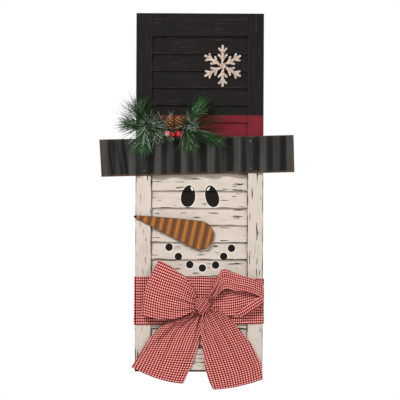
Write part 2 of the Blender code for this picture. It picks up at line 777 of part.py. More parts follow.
def make_hangers():
    head = 1.8 * MM
    screw_profile = [(0.0, head), (SCREW_HEAD_RADIUS * 0.6, head * 0.95),
                     (SCREW_HEAD_RADIUS * 0.95, head * 0.5), (SCREW_HEAD_RADIUS, 0.0),
                     (SCREW_SHANK_RADIUS, 0.0), (SCREW_SHANK_RADIUS, -SCREW_LENGTH),
                     (0.0, -SCREW_LENGTH - 1.0 * MM)]
    for number, side in enumerate((-1, 1), 1):
        x = side * STILE_CENTRE
        make_strap(f"hanger_strap_{number}", x)
        screw_seat = GAP + STRAP_SHEET + GAP
        turned(f"hanger_screw_{number}", screw_profile, plated_steel,
               (x, screw_seat, HANGER_Z - SCREW_DROP), (math.radians(-90.0), 0.0, 0.0), steps=14)
        path = ring_path()
        ring = wire(f"hanger_ring_{number}", path, [RING_WIRE_RADIUS] * len(path), plated_steel,
                    cyclic=True)
        ring.location = (x, EYE_Y, HANGER_Z)


make_frame()
make_slats()
make_brim()
make_nails()
make_nose()
make_nose_spacer()
make_snowflake()
make_sprig()
make_cones_and_berries()
make_scarf_band()
make_bow()
make_hangers()
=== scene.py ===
"""The looks of the wall-hung shutter snowman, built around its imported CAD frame."""
import math
import random

import bmesh
import bpy
from mathutils import Matrix, Vector, noise


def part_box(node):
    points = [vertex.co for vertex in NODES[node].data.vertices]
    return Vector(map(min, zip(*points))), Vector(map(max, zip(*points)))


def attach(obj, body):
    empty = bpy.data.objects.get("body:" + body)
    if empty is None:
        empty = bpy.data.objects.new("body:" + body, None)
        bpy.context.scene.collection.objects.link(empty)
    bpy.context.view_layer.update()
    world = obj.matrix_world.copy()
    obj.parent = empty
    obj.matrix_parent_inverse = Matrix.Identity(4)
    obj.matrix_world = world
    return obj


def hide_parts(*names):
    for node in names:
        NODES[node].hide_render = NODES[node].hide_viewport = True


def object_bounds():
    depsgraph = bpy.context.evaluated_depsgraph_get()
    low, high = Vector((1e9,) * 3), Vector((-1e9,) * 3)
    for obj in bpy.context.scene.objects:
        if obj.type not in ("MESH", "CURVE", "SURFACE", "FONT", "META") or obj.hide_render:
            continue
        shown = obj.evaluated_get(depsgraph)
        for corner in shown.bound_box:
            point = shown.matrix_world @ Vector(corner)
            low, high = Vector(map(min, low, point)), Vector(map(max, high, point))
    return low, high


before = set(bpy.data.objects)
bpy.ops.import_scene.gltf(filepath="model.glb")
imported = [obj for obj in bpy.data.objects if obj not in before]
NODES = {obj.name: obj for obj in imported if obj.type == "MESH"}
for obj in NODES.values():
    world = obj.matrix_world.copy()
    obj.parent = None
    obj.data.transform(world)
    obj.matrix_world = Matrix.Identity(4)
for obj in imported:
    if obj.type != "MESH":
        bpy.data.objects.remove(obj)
cad_low, cad_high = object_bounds()

MM = 0.001

# Levels where the paint changes colour, in metres from the origin at the top rail's middle
RED_TOP = -230.0 * MM
RED_BOTTOM = -335.0 * MM


# ---------------------------------------------------------------- camera, light and floor

CAMERA_X = 1.6 * MM
CAMERA_Z = -447.3 * MM
VIEW_WIDTH = 1020.5 * MM
CAMERA_ROLL = math.radians(0.28)
CAMERA_DISTANCE = 3.0


def make_camera():
    data = bpy.data.cameras.new("camera")
    data.type = "ORTHO"
    data.ortho_scale = VIEW_WIDTH
    camera = bpy.data.objects.new("camera", data)
    camera.location = (CAMERA_X, -CAMERA_DISTANCE, CAMERA_Z)
    camera.rotation_euler = (math.radians(90.0), -CAMERA_ROLL, 0.0)
    bpy.context.scene.collection.objects.link(camera)
    bpy.context.scene.camera = camera


def area_light(name, location, target, size, watts):
    data = bpy.data.lights.new(name, "AREA")
    data.size = size
    data.energy = watts
    light = bpy.data.objects.new(name, data)
    light.location = location
    aim = Vector(target) - Vector(location)
    light.rotation_euler = aim.to_track_quat("-Z", "Y").to_euler()
    bpy.context.scene.collection.objects.link(light)


def make_studio():
    middle = (0.0, 0.0, -0.45)
    area_light("key_light", (-1.1, -2.4, 0.95), middle, 0.7, 62.0)
    area_light("fill_light", (1.7, -2.2, -0.1), middle, 1.6, 17.0)
    area_light("back_light", (0.6, 2.4, 0.9), middle, 1.6, 30.0)
    world = bpy.data.worlds.new("studio")
    world.use_nodes = True
    tree = world.node_tree
    background = tree.nodes["Background"]
    background.inputs["Color"].default_value = (1.0, 1.0, 1.0, 1.0)
    path = tree.nodes.new("ShaderNodeLightPath")
    strength = tree.nodes.new("ShaderNodeMapRange")
    strength.inputs["To Min"].default_value = 0.30
    strength.inputs["To Max"].default_value = 1.0
    tree.links.new(path.outputs["Is Camera Ray"], strength.inputs["Value"])
    tree.links.new(strength.outputs["Result"], background.inputs["Strength"])
    bpy.context.scene.world = world
    bpy.context.scene.view_settings.view_transform = "Standard"


def make_floor():
    mesh = bpy.data.meshes.new("floor")
    shape = bmesh.new()
    bmesh.ops.create_grid(shape, x_segments=1, y_segments=1, size=4.0)
    shape.to_mesh(mesh)
    shape.free()
    floor = bpy.data.objects.new("floor", mesh)
    floor.location.z = cad_low.z - 0.12
    paint = Paint("pale_floor", roughness=0.9)
    speckle = paint.noise(paint.scaled(30.0, 30.0, 30.0))
    paint.colour(paint.mix(speckle, (0.86, 0.86, 0.85), (0.82, 0.82, 0.81)))
    mesh.materials.append(paint.material)
    bpy.context.scene.collection.objects.link(floor)


# ---------------------------------------------------------------- material graph

class Value:
    """A number in a Paint's node graph, which takes Python's own arithmetic signs."""

    def __init__(self, paint, socket):
        self.paint = paint
        self.socket = socket

    def __add__(self, other):
        return self.paint.math("ADD", self, other)

    def __sub__(self, other):
        return self.paint.math("SUBTRACT", self, other)

    def __rsub__(self, other):
        return self.paint.math("SUBTRACT", other, self)

    def __mul__(self, other):
        return self.paint.math("MULTIPLY", self, other)

    def __truediv__(self, other):
        return self.paint.math("DIVIDE", self, other)

    def __pow__(self, power):
        return self.paint.math("POWER", self, power)


class Paint:
    """A Principled material whose node graph is written with short calls.

    Coordinates are the object's own, which at rest are metres in the row's frame.
    """

    def __init__(self, name, roughness=0.7, metallic=0.0, specular=0.2):
        self.material = bpy.data.materials.new(name)
        self.material.use_nodes = True
        self.tree = self.material.node_tree
        self.shader = self.tree.nodes["Principled BSDF"]
        self.shader.inputs["Roughness"].default_value = roughness
        self.shader.inputs["Metallic"].default_value = metallic
        self.shader.inputs["Specular IOR Level"].default_value = specular
        self.place = self.add("ShaderNodeTexCoord").outputs["Object"]
        self.x, _, self.z = self.split(self.place)

    def add(self, kind):
        return self.tree.nodes.new(kind)

    def split(self, vector):
        """The three parts of a vector."""
        node = self.add("ShaderNodeSeparateXYZ")
        self.tree.links.new(vector, node.inputs[0])
        return [Value(self, part) for part in node.outputs]

    def mapped(self, uv_map):
        """The two coordinates that a piece's UV map gives."""
        node = self.add("ShaderNodeUVMap")
        node.uv_map = uv_map
        return self.split(node.outputs[0])[:2]

    def put(self, socket, value):
        if isinstance(value, Value):
            value = value.socket
        if isinstance(value, bpy.types.NodeSocket):
            self.tree.links.new(value, socket)
        elif isinstance(value, tuple):
            socket.default_value = (*value, 1.0) if len(socket.default_value) == 4 else value
        else:
            socket.default_value = value

    def math(self, operation, a, b=0.0):
        node = self.add("ShaderNodeMath")
        node.operation = operation
        self.put(node.inputs[0], a)
        self.put(node.inputs[1], b)
        return Value(self, node.outputs[0])

    def scaled(self, x, y, z, shift=(0.0, 0.0, 0.0)):
        node = self.add("ShaderNodeMapping")
        node.inputs["Scale"].default_value = (x, y, z)
        node.inputs["Location"].default_value = shift
        self.put(node.inputs["Vector"], self.place)
        return node.outputs[0]

    def noise(self, vector, detail=2.0, roughness=0.5):
        node = self.add("ShaderNodeTexNoise")
        node.inputs["Scale"].default_value = 1.0
        node.inputs["Detail"].default_value = detail
        node.inputs["Roughness"].default_value = roughness
        self.put(node.inputs["Vector"], vector)
        return Value(self, node.outputs["Fac"])

    def ramp(self, value, low, high):
        """0 at low and 1 at high, which may be given in either order."""
        node = self.add("ShaderNodeMapRange")
        node.interpolation_type = "SMOOTHSTEP"
        self.put(node.inputs["Value"], value)
        node.inputs["From Min"].default_value = min(low, high)
        node.inputs["From Max"].default_value = max(low, high)
        node.inputs["To Min"].default_value = 0.0 if low < high else 1.0
        node.inputs["To Max"].default_value = 1.0 if low < high else 0.0
        return Value(self, node.outputs["Result"])

    def mix(self, factor, a, b):
        node = self.add("ShaderNodeMix")
        node.data_type = "RGBA"
        self.put(node.inputs["Factor"], factor)
        self.put(node.inputs[6], a)
        self.put(node.inputs[7], b)
        return node.outputs[2]

    def bump(self, height, strength, distance):
        node = self.add("ShaderNodeBump")
        node.inputs["Strength"].default_value = strength
        node.inputs["Distance"].default_value = distance
        self.put(node.inputs["Height"], height)
        self.tree.links.new(node.outputs["Normal"], self.shader.inputs["Normal"])

    def colour(self, value):
        self.put(self.shader.inputs["Base Color"], value)

    def rough(self, value):
        self.put(self.shader.inputs["Roughness"], value)


def paint_node(name, material):
    """Gives a CAD node a finished material without touching its mesh."""
    obj = NODES[name]
    if not obj.material_slots:
        obj.data.materials.append(material)
    for slot in obj.material_slots:
        slot.material = material


# ---------------------------------------------------------------- painted wood

BLACK = (0.0125, 0.0105, 0.0098)
BLACK_WORN = (0.070, 0.050, 0.037)
RED = (0.185, 0.016, 0.025)
CREAM = (0.67, 0.590, 0.520)
CREAM_SHADE = (0.57, 0.490, 0.420)
STROKE = (0.014, 0.011, 0.009)
HALO = (0.84, 0.79, 0.74)
FACE_BLACK = (0.0085, 0.0068, 0.0055)

OPENING_HALF = 122.0 * MM
BOARD_HALF = 162.75 * MM
OPENING_TOP = -24.0 * MM
BOARD_FOOT = -885.4 * MM
SLAT_PITCH = 43.7 * MM
FIRST_SLAT_EDGE = -74.7 * MM

# The hairline joints between rails and stiles: the rails' heights, and the strip that fills a joint
TOP_RAIL = (-28.2 * MM, 28.2 * MM)
FOOT_RAIL = (-884.6 * MM, -828.2 * MM)
JOINT_GAP = 0.3 * MM
JOINT_FILL_WIDTH = 0.9 * MM
JOINT_FILL_DEPTH = 19.2 * MM
BOARD_MIDDLE_Y = -11.0 * MM

# Face paint: (x, z) of the middle, half width, half height and lean to the right, in mm and degrees
EYES = [(-28.5, -437.5, 18.3, 28.0, 8.0), (32.0, -437.5, 17.2, 28.6, -15.7)]
GLINTS = [(-19.2, -418.7, 2.3, 5.8, -24.0), (23.1, -418.4, 2.3, 5.8, 32.0)]
MOUTH = [(-76.8, -568.1), (-53.0, -591.7), (-23.7, -612.3), (8.4, -620.9), (42.1, -613.1),
         (62.6, -590.8), (82.4, -570.2)]
DOT_RADIUS = 9.7
HALO_WIDTH = 1.7


def grain_vector(paint, grain, along, across, seed):
    """Coordinates stretched along the grain, so that noise makes strokes in its direction."""
    if grain == "x":
        return paint.scaled(along, 0.0, across, (seed, 0.0, seed * 1.7))
    return paint.scaled(across, 0.0, along, (seed * 1.7, 0.0, seed))


def strokes(paint, grain, along, across, low, high, seed):
    return paint.ramp(paint.noise(grain_vector(paint, grain, along, across, seed), 2.0, 0.45),
                      low, high)


def egg(paint, spec, grow=0.0):
    """Distance-like value of a leaning egg: 1 on its outline, which is narrower at the top."""
    x, z, half_width, half_height, lean = spec
    turn = math.radians(lean)
    dx = paint.x - x * MM
    dz = paint.z - z * MM
    up = dx * math.sin(turn) + dz * math.cos(turn)
    side = dx * math.cos(turn) - dz * math.sin(turn)
    up = up / ((half_height + grow) * MM)
    side = side / ((half_width + grow) * MM)
    widen = up * 0.11 + 1.0
    side = side * widen
    return paint.math("SQRT", side ** 2.0 + up ** 2.0)


def inside(paint, value, softness=0.02):
    return paint.ramp(value, 1.0 + softness, 1.0 - softness)


def any_of(paint, masks):
    result = masks[0]
    for mask in masks[1:]:
        result = paint.math("MAXIMUM", result, mask)
    return result


def normal_part(paint, axis):
    """One part of the direction that the surface faces: 0, 1 or 2 for x, y or z."""
    return paint.split(paint.add("ShaderNodeTexCoord").outputs["Normal"])[axis]


def paint_face(paint, base):
    """Eyes with a glint and a row of mouth dots, each with an off-white rim, on the front only."""
    dots = [(x, z, DOT_RADIUS, DOT_RADIUS, 0.0) for x, z in MOUTH]
    rims = [inside(paint, egg_or_disc(paint, spec, HALO_WIDTH), 0.035) for spec in EYES + dots]
    darks = [inside(paint, egg_or_disc(paint, spec), 0.035) for spec in EYES + dots]
    glints = [inside(paint, egg(paint, spec), 0.12) for spec in GLINTS]
    cloudy = paint.noise(paint.scaled(60.0, 0.0, 60.0), 3.0)
    dark = paint.mix(cloudy, FACE_BLACK, (0.013, 0.010, 0.0085))
    colour = paint.mix(any_of(paint, rims), base, HALO)
    colour = paint.mix(any_of(paint, darks), colour, dark)
    colour = paint.mix(any_of(paint, glints), colour, HALO)
    return paint.mix(paint.ramp(normal_part(paint, 1), 0.1, -0.1), base, colour)


def egg_or_disc(paint, spec, grow=0.0):
    """A dot is a plain disc, and an eye is an egg."""
    x, z, half_width, half_height = spec[:4]
    if half_width != half_height:
        return egg(paint, spec, grow)
    dx = paint.x - x * MM
    dz = paint.z - z * MM
    squares = dx ** 2.0 + dz ** 2.0
    return paint.math("SQRT", squares) / ((half_width + grow) * MM)


def painted_wood(name, grain, face=False):
    """Distressed paint in the three colours, with wear where each kind of part is rubbed."""
    paint = Paint(name, roughness=0.72, specular=0.1)
    fine = strokes(paint, grain, 22.0, 560.0, 0.55, 0.60, 3.1)
    bold = strokes(paint, grain, 19.0, 215.0, 0.638, 0.648, 4.6)
    patch = paint.ramp(paint.noise(grain_vector(paint, grain, 11.0, 34.0, 5.7)), 0.46, 0.58)
    cloud = paint.noise(grain_vector(paint, grain, 6.0, 40.0, 8.9), 3.0)
    grain_lines = paint.noise(grain_vector(paint, grain, 14.0, 900.0, 2.2), 3.0, 0.6)

    cream = paint.mix(cloud, CREAM, CREAM_SHADE)
    faint = fine * patch * 0.26
    cream = paint.mix(faint, cream, (0.20, 0.165, 0.135))
    cream = paint.mix(bold, cream, STROKE)

    black = paint.mix(cloud, BLACK, (0.0105, 0.0092, 0.0088))
    black = paint.mix(bold * 0.25, black, BLACK_WORN)
    black = paint.mix(faint * 0.6, black, (0.040, 0.031, 0.025))

    red = paint.mix(cloud, RED, (0.150, 0.014, 0.021))
    red = paint.mix(bold * 0.8, red, (0.05, 0.018, 0.018))

    if face:
        cream = paint_face(paint, cream)
    foot = paint.ramp(paint.z, BOARD_FOOT + 5.0 * MM, BOARD_FOOT + 3.8 * MM)
    rub = paint.math("MAXIMUM", edge_wear(paint, grain), foot)
    cream = paint.mix(rub, cream, STROKE)
    black = paint.mix(rub * 0.3, black, BLACK_WORN)
    red = paint.mix(rub * 0.8, red, (0.055, 0.018, 0.018))

    wobble = paint.noise(paint.scaled(25.0, 0.0, 0.0)) * (2.0 * MM)
    level = paint.z + wobble
    colour = paint.mix(paint.ramp(level, RED_TOP - 0.3 * MM, RED_TOP + 0.3 * MM), red, black)
    colour = paint.mix(paint.ramp(level, RED_BOTTOM, RED_BOTTOM + 0.6 * MM), cream, colour)
    edge = paint.ramp(paint.math("ABSOLUTE", normal_part(paint, 0)), 0.75, 0.9)
    paint.colour(paint.mix(edge, colour, black))
    paint.rough(paint.mix(cloud, (0.66, 0.66, 0.66), (0.82, 0.82, 0.82)))
    height = grain_lines - bold * 0.7
    paint.bump(height, 0.35, 0.5 * MM)
    return paint.material


def edge_wear(paint, grain):
    """Broken dark lines: along the slats' lower edges, or along both edges of the stiles."""
    if grain == "x":
        drop = paint.z - FIRST_SLAT_EDGE
        phase = paint.math("FRACT", drop / SLAT_PITCH + 40.0)
        broken = paint.noise(paint.scaled(26.0, 0.0, 1.0 / SLAT_PITCH, (0.3, 0.0, 0.4)), 3.0)
        reach = paint.ramp(broken, 0.36, 0.66) * 0.046
        return paint.math("LESS_THAN", phase, reach + 0.006)
    side = paint.math("ABSOLUTE", paint.x)
    broken = paint.noise(paint.scaled(40.0, 0.0, 24.0, (2.0, 0.0, 1.0)), 3.0)
    reach = paint.ramp(broken, 0.38, 0.68) * (2.0 * MM)
    inner = paint.math("LESS_THAN", side, reach + (OPENING_HALF + 0.9 * MM))
    inner = inner * paint.math("LESS_THAN", paint.z, OPENING_TOP)
    outer = paint.math("GREATER_THAN", side, BOARD_HALF - 0.4 * MM - reach)
    return paint.math("MAXIMUM", inner, outer)


def finish_frame():
    stile_paint = painted_wood("stile_paint", "z")
    rail_paint = painted_wood("rail_paint", "x")
    slat_paint = painted_wood("slat_paint", "x", face=True)
    for name in ("left_stile", "right_stile"):
        paint_node(name, stile_paint)
    for name in ("top_rail", "bottom_rail"):
        paint_node(name, rail_paint)
    for name in NODES:
        if name.startswith("louver_slat"):
            paint_node(name, slat_paint)
    fill_joints("painted_joints_top", TOP_RAIL, stile_paint)
    fill_joints("painted_joints_foot", FOOT_RAIL, stile_paint)


def fill_joints(name, heights, paint):
    """Paint that bridges the hairline joints between one rail and the two stiles."""
    bottom, top = heights
    size = (JOINT_FILL_WIDTH, JOINT_FILL_DEPTH, top - bottom)
    shape = bmesh.new()
    for side in (-1, 1):
        centre = (side * (OPENING_HALF - JOINT_GAP / 2), BOARD_MIDDLE_Y, (bottom + top) / 2)
        matrix = Matrix.Translation(centre) @ Matrix.Diagonal((*size, 1.0))
        bmesh.ops.create_cube(shape, size=1.0, matrix=matrix)
    mesh = bpy.data.meshes.new(name)
    shape.to_mesh(mesh)
    shape.free()
    piece = new_piece(name, mesh, paint)
    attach(piece, "panel")


# ---------------------------------------------------------------- meshes

def new_piece(name, mesh, *materials):
    obj = bpy.data.objects.new(name, mesh)
    for material in materials:
        mesh.materials.append(material)
    bpy.context.scene.collection.objects.link(obj)
    return obj


def settle(obj):
    """Applies an object's modifiers to its mesh and shades it smooth but for sharp edges."""
    bpy.context.view_layer.update()
    evaluated = obj.evaluated_get(bpy.context.evaluated_depsgraph_get())
    mesh = bpy.data.meshes.new_from_object(evaluated)
    obj.modifiers.clear()
    obj.data = mesh
    smooth(obj, 40.0)


def smooth(obj, degrees):
    obj.data.shade_smooth()
    obj.data.set_sharp_from_angle(angle=math.radians(degrees))


def thicken(obj, thickness, offset=0.0):
    modifier = obj.modifiers.new("thickness", "SOLIDIFY")
    modifier.thickness = thickness
    modifier.offset = offset
    modifier.use_even_offset = True


def grid_mesh(name, columns, rows, place, uv=None):
    """A sheet from a function of two shares; uv gives metres on the flat sheet."""
    mesh = bpy.data.meshes.new(name)
    verts = [place(i / columns, j / rows) for j in range(rows + 1) for i in range(columns + 1)]
    width = columns + 1
    faces = [(j * width + i, j * width + i + 1, (j + 1) * width + i + 1, (j + 1) * width + i)
             for j in range(rows) for i in range(columns)]
    mesh.from_pydata(verts, [], faces)
    if uv:
        layer = mesh.uv_layers.new(name="flat")
        flat = [uv(i / columns, j / rows) for j in range(rows + 1) for i in range(columns + 1)]
        for loop in mesh.loops:
            layer.data[loop.index].uv = flat[loop.vertex_index]
    return mesh


def stand_for(obj, slot, *nodes):
    """The piece rides on the panel and hides its CAD solids. The slot is not used."""
    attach(obj, "panel")
    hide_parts(*nodes)


# ---------------------------------------------------------------- corrugated brim

BRIM_LENGTH = 494.0 * MM
BRIM_HEIGHT = 95.2 * MM
BRIM_TILT = math.radians(1.64)
BRIM_CENTRE = (-6.1 * MM, -334.8 * MM)
BRIM_PITCH = 67.5 * MM
BRIM_CREST = 27.8 * MM
BRIM_AMPLITUDE = 6.35 * MM
BRIM_MEAN_Y = -29.15 * MM


def brim_shape(along, up):
    """A point of the sheet: regular waves, crumpled where its left end was bent by hand."""
    wave_x = BRIM_CENTRE[0] + along
    wave = math.cos(2 * math.pi * (wave_x - BRIM_CREST) / BRIM_PITCH)
    crumple = math.exp(-((wave_x + 205.0 * MM) / (27.0 * MM)) ** 2)
    ripple = math.cos(2 * math.pi * (wave_x + 0.12 * up) / (15.5 * MM))
    depth = BRIM_MEAN_Y - BRIM_AMPLITUDE * wave * (1.0 - 0.45 * crumple)
    depth -= 1.5 * MM * crumple * ripple
    depth += 0.5 * MM * noise.noise(Vector((wave_x * 18.0, 0.0, up * 20.0)))
    end = max(0.0, -(wave_x + 190.0 * MM)) / (60.0 * MM)
    along -= end * up * 0.033
    x = BRIM_CENTRE[0] + along * math.cos(BRIM_TILT) - up * math.sin(BRIM_TILT)
    z = BRIM_CENTRE[1] + along * math.sin(BRIM_TILT) + up * math.cos(BRIM_TILT)
    return Vector((x, depth, z))


def brim_paint():
    """Black paint with painted highlights: crests brighter and valleys a little brighter than the
    flanks, broken up by noise, and rust at the edges.
    """
    paint = Paint("brim_paint", roughness=0.42, metallic=0.35, specular=0.4)
    blotch = paint.noise(paint.scaled(24.0, 0.0, 4.0), 3.0)
    sway = (blotch - 0.5) * 1.6
    turn = (paint.x - BRIM_CREST) * (2 * math.pi / BRIM_PITCH)
    turn = turn + sway
    # Painted light: the crests, and the valleys a little, are painted brighter than the flanks, as if
    # lit from the front.
    crest = paint.ramp(paint.math("COSINE", turn), 0.45, 1.0)
    valley = paint.ramp(paint.math("COSINE", turn), -0.6, -1.0)
    painted_wave_light = paint.math("MAXIMUM", crest, valley * 0.35)
    fade = paint.ramp(paint.noise(paint.scaled(9.0, 0.0, 5.0), 2.0), 0.30, 0.62)
    painted_wave_light = painted_wave_light * (fade * 0.75 + 0.25)
    base = paint.mix(painted_wave_light, (0.0060, 0.0054, 0.0042), (0.055, 0.050, 0.044))
    drop = paint.z - BRIM_CENTRE[1]
    slide = (paint.x - BRIM_CENTRE[0]) * math.tan(BRIM_TILT)
    rise = drop - slide
    height = paint.math("MAXIMUM", rise * -1.0, rise - 2.0 * MM)
    end = paint.math("ABSOLUTE", paint.x - BRIM_CENTRE[0]) - (BRIM_LENGTH / 2 - BRIM_HEIGHT / 2)
    height = paint.math("MAXIMUM", height, end)
    ragged = paint.noise(paint.scaled(55.0, 0.0, 18.0), 4.0) * (14.0 * MM)
    rust = paint.ramp(height + ragged, 48.0 * MM, 55.0 * MM)
    speck = paint.ramp(paint.noise(paint.scaled(110.0, 0.0, 80.0), 3.0), 0.66, 0.74)
    rust = paint.math("MAXIMUM", rust, speck * 0.3)
    paint.colour(paint.mix(rust, base, (0.100, 0.055, 0.030)))
    paint.rough(paint.mix(rust, (0.40, 0.40, 0.40), (0.75, 0.75, 0.75)))
    paint.bump(blotch + rust, 0.2, 0.4 * MM)
    return paint.material


def make_brim():
    def place(u, v):
        return brim_shape((u - 0.5) * BRIM_LENGTH, (v - 0.5) * BRIM_HEIGHT)

    brim = new_piece("corrugated_brim", grid_mesh("corrugated_brim", 400, 14, place), brim_paint())
    thicken(brim, 0.7 * MM)
    settle(brim)
    stand_for(brim, "brim_steel", "hat_brim")


def dark_nails():
    paint = Paint("nail_paint", roughness=0.35, metallic=0.8)
    worn = paint.ramp(paint.noise(paint.scaled(900.0, 900.0, 900.0), 2.0), 0.45, 0.7)
    paint.colour(paint.mix(worn, (0.05, 0.045, 0.04), (0.5, 0.48, 0.46)))
    for number in range(1, 5):
        paint_node(f"brim_nail_{number}", paint.material)


# ---------------------------------------------------------------- carrot nose

NOSE_BULB = (1.6 * MM, -538.2 * MM)
NOSE_BULB_RADIUS = 35.5 * MM
NOSE_TIP_RADIUS = 3.0 * MM
NOSE_REACH = 172.5 * MM
NOSE_FALL = math.radians(-16.0)
NOSE_UPPER_BOW = 3.0 * MM
NOSE_PITCH = 21.0 * MM
NOSE_LEAN = math.radians(12.5)
NOSE_FIRST_RIDGE = 3.1 * MM
NOSE_AMPLITUDE = 2.5 * MM
NOSE_MEAN_Y = -27.4 * MM


def nose_half_width(along):
    """Half width of the teardrop at a distance from its tip: two discs and their tangents."""
    bulb_centre = NOSE_TIP_RADIUS + NOSE_REACH
    slope = (NOSE_BULB_RADIUS - NOSE_TIP_RADIUS) / NOSE_REACH
    tip_joint = NOSE_TIP_RADIUS * (1.0 - slope)
    bulb_joint = bulb_centre - NOSE_BULB_RADIUS * slope
    if along < tip_joint:
        return math.sqrt(max(0.0, NOSE_TIP_RADIUS ** 2 - (along - NOSE_TIP_RADIUS) ** 2))
    if along > bulb_joint:
        return math.sqrt(max(0.0, NOSE_BULB_RADIUS ** 2 - (along - bulb_centre) ** 2))
    share = (along - tip_joint) / (bulb_joint - tip_joint)
    straight = NOSE_TIP_RADIUS + (NOSE_BULB_RADIUS - NOSE_TIP_RADIUS) * share
    return straight * math.sqrt(1.0 - slope * slope)


def nose_paint():
    """Orange on the ridges, brown in the valleys, and a dark rim read from the flat sheet."""
    paint = Paint("nose_paint", roughness=0.5, metallic=0.15)
    across = ((paint.x - NOSE_BULB[0]) * math.cos(NOSE_LEAN)
              - (paint.z - NOSE_BULB[1]) * math.sin(NOSE_LEAN) - NOSE_FIRST_RIDGE)
    wave = paint.math("COSINE", across * (2 * math.pi / NOSE_PITCH))
    smear = paint.noise(paint.scaled(70.0, 0.0, 26.0), 4.0)
    wave = wave + (smear - 0.5) * 1.3
    orange = paint.mix(smear, (0.44, 0.160, 0.028), (0.33, 0.125, 0.030))
    brown = paint.mix(smear, (0.150, 0.066, 0.028), (0.105, 0.050, 0.025))
    colour = paint.mix(paint.ramp(wave, -0.85, 0.70), brown, orange)
    speck = paint.ramp(paint.noise(paint.scaled(420.0, 0.0, 300.0), 2.0), 0.64, 0.74)
    colour = paint.mix(speck * 0.35, colour, (0.10, 0.045, 0.03))
    from_end, from_rim = paint.mapped("flat")
    ragged = paint.noise(paint.scaled(90.0, 0.0, 90.0), 3.0) * (2.0 * MM)
    rim = paint.ramp(from_rim + ragged, 3.0 * MM, 1.6 * MM)
    colour = paint.mix(rim * 0.85, colour, (0.075, 0.034, 0.022))
    tip = paint.ramp(from_end + ragged, 10.0 * MM, 6.0 * MM)
    paint.colour(paint.mix(tip, colour, (0.016, 0.010, 0.008)))
    paint.bump(smear, 0.2, 0.3 * MM)
    return paint.material


def make_nose():
    length = NOSE_TIP_RADIUS + NOSE_REACH + NOSE_BULB_RADIUS
    axis = Vector((math.cos(NOSE_FALL), 0.0, math.sin(NOSE_FALL)))
    up = Vector((-math.sin(NOSE_FALL), 0.0, math.cos(NOSE_FALL)))
    tip = Vector((NOSE_BULB[0], 0.0, NOSE_BULB[1])) - axis * (length - NOSE_BULB_RADIUS)

    def station(u):
        eased = 0.5 - 0.5 * math.cos(math.pi * u)
        return length * min(max(0.7 * u + 0.3 * eased, 0.0004), 0.9996)

    def place(u, v):
        along = station(u)
        across = (2 * v - 1) * nose_half_width(along)
        bow = NOSE_UPPER_BOW * math.sin(math.pi * u) * max(0.0, 2 * v - 1)
        point = tip + axis * along + up * (across + bow)
        phase = ((point.x - NOSE_BULB[0]) * math.cos(NOSE_LEAN)
                 - (point.z - NOSE_BULB[1]) * math.sin(NOSE_LEAN) - NOSE_FIRST_RIDGE) / NOSE_PITCH
        point.y = NOSE_MEAN_Y - NOSE_AMPLITUDE * math.cos(2 * math.pi * phase)
        return point

    def flat(u, v):
        along = station(u)
        side = min(v, 1.0 - v) * 2 * nose_half_width(along)
        end = min(along, length - along)
        return along, min(side, end)

    nose = new_piece("corrugated_nose", grid_mesh("corrugated_nose", 240, 24, place, flat),
                     nose_paint())
    thicken(nose, 0.8 * MM)
    settle(nose)
    stand_for(nose, "nose_steel", "carrot_nose")


def finish_spacer():
    paint = Paint("spacer_wood", roughness=0.8)
    rings = paint.noise(paint.scaled(18.0, 300.0, 260.0), 3.0)
    paint.colour(paint.mix(rings, (0.46, 0.31, 0.18), (0.33, 0.2, 0.11)))
    paint.bump(rings, 0.3, 0.3 * MM)
    paint_node("nose_spacer", paint.material)


# ---------------------------------------------------------------- snowflake

FLAKE_CENTRE = (57.8 * MM, -104.8 * MM)
FLAKE_RADIUS = 53.7 * MM
FLAKE_STROKE = 3.1 * MM


def twig(root, centre, radius):
    """Outline of a side twig from the arm's edge, round its end and back to the arm."""
    direction = (Vector(centre) - Vector((root, 0.0))).normalized()
    side = Vector((direction.y, -direction.x))
    lower = Vector((root, 0.0)) + side * radius
    lower += direction * ((FLAKE_STROKE - lower.y) / direction.y)
    upper = Vector((root, 0.0)) - side * radius
    upper += direction * ((FLAKE_STROKE - upper.y) / direction.y)
    turns = [math.pi * step / 6 for step in range(7)]
    end = [Vector(centre) - side * radius * math.cos(a) + direction * radius * math.sin(a)
           for a in turns]
    return [tuple(upper), *[tuple(p) for p in end], tuple(lower)]


def half_arm():
    """One side of a snowflake arm as (distance along the arm, distance across it)."""
    valley = 9.3 * MM
    points = [(valley * math.cos(math.pi / 6), valley * math.sin(math.pi / 6)),
              (12.0 * MM, FLAKE_STROKE)]
    points += twig(17.0 * MM, (27.8 * MM, 10.0 * MM), 2.7 * MM)
    points += twig(33.5 * MM, (44.0 * MM, 9.2 * MM), 2.6 * MM)
    end = FLAKE_RADIUS - FLAKE_STROKE
    for angle in (90.0, 60.0, 30.0):
        turn = math.radians(angle)
        points.append((end + FLAKE_STROKE * math.cos(turn), FLAKE_STROKE * math.sin(turn)))
    return points


def rounded(points):
    """Corner cutting, which turns a closed outline's corners into soft curves."""
    cut = []
    for a, b in zip(points, points[1:] + points[:1]):
        for share in (0.22, 0.78):
            cut.append((a[0] * (1.0 - share) + b[0] * share, a[1] * (1.0 - share) + b[1] * share))
    return cut


def flake_paint():
    """Tan wood under a thin white wash: tan on faces that look straight front or back, off-white on the
    rounded edges.
    """
    paint = Paint("flake_paint", roughness=0.75)
    facing = paint.split(paint.add("ShaderNodeNewGeometry").outputs["Normal"])[1]
    flat = paint.ramp(paint.math("ABSOLUTE", facing), 0.80, 0.97)
    wash = paint.noise(paint.scaled(120.0, 0.0, 150.0), 4.0, 0.6)
    wood = paint.mix(paint.ramp(wash, 0.38, 0.62), (0.36, 0.24, 0.175), (0.60, 0.49, 0.42))
    white = paint.mix(paint.ramp(wash, 0.30, 0.48), (0.50, 0.40, 0.33), (0.84, 0.77, 0.72))
    paint.colour(paint.mix(flat, white, wood))
    paint.bump(wash, 0.3, 0.3 * MM)
    return paint.material


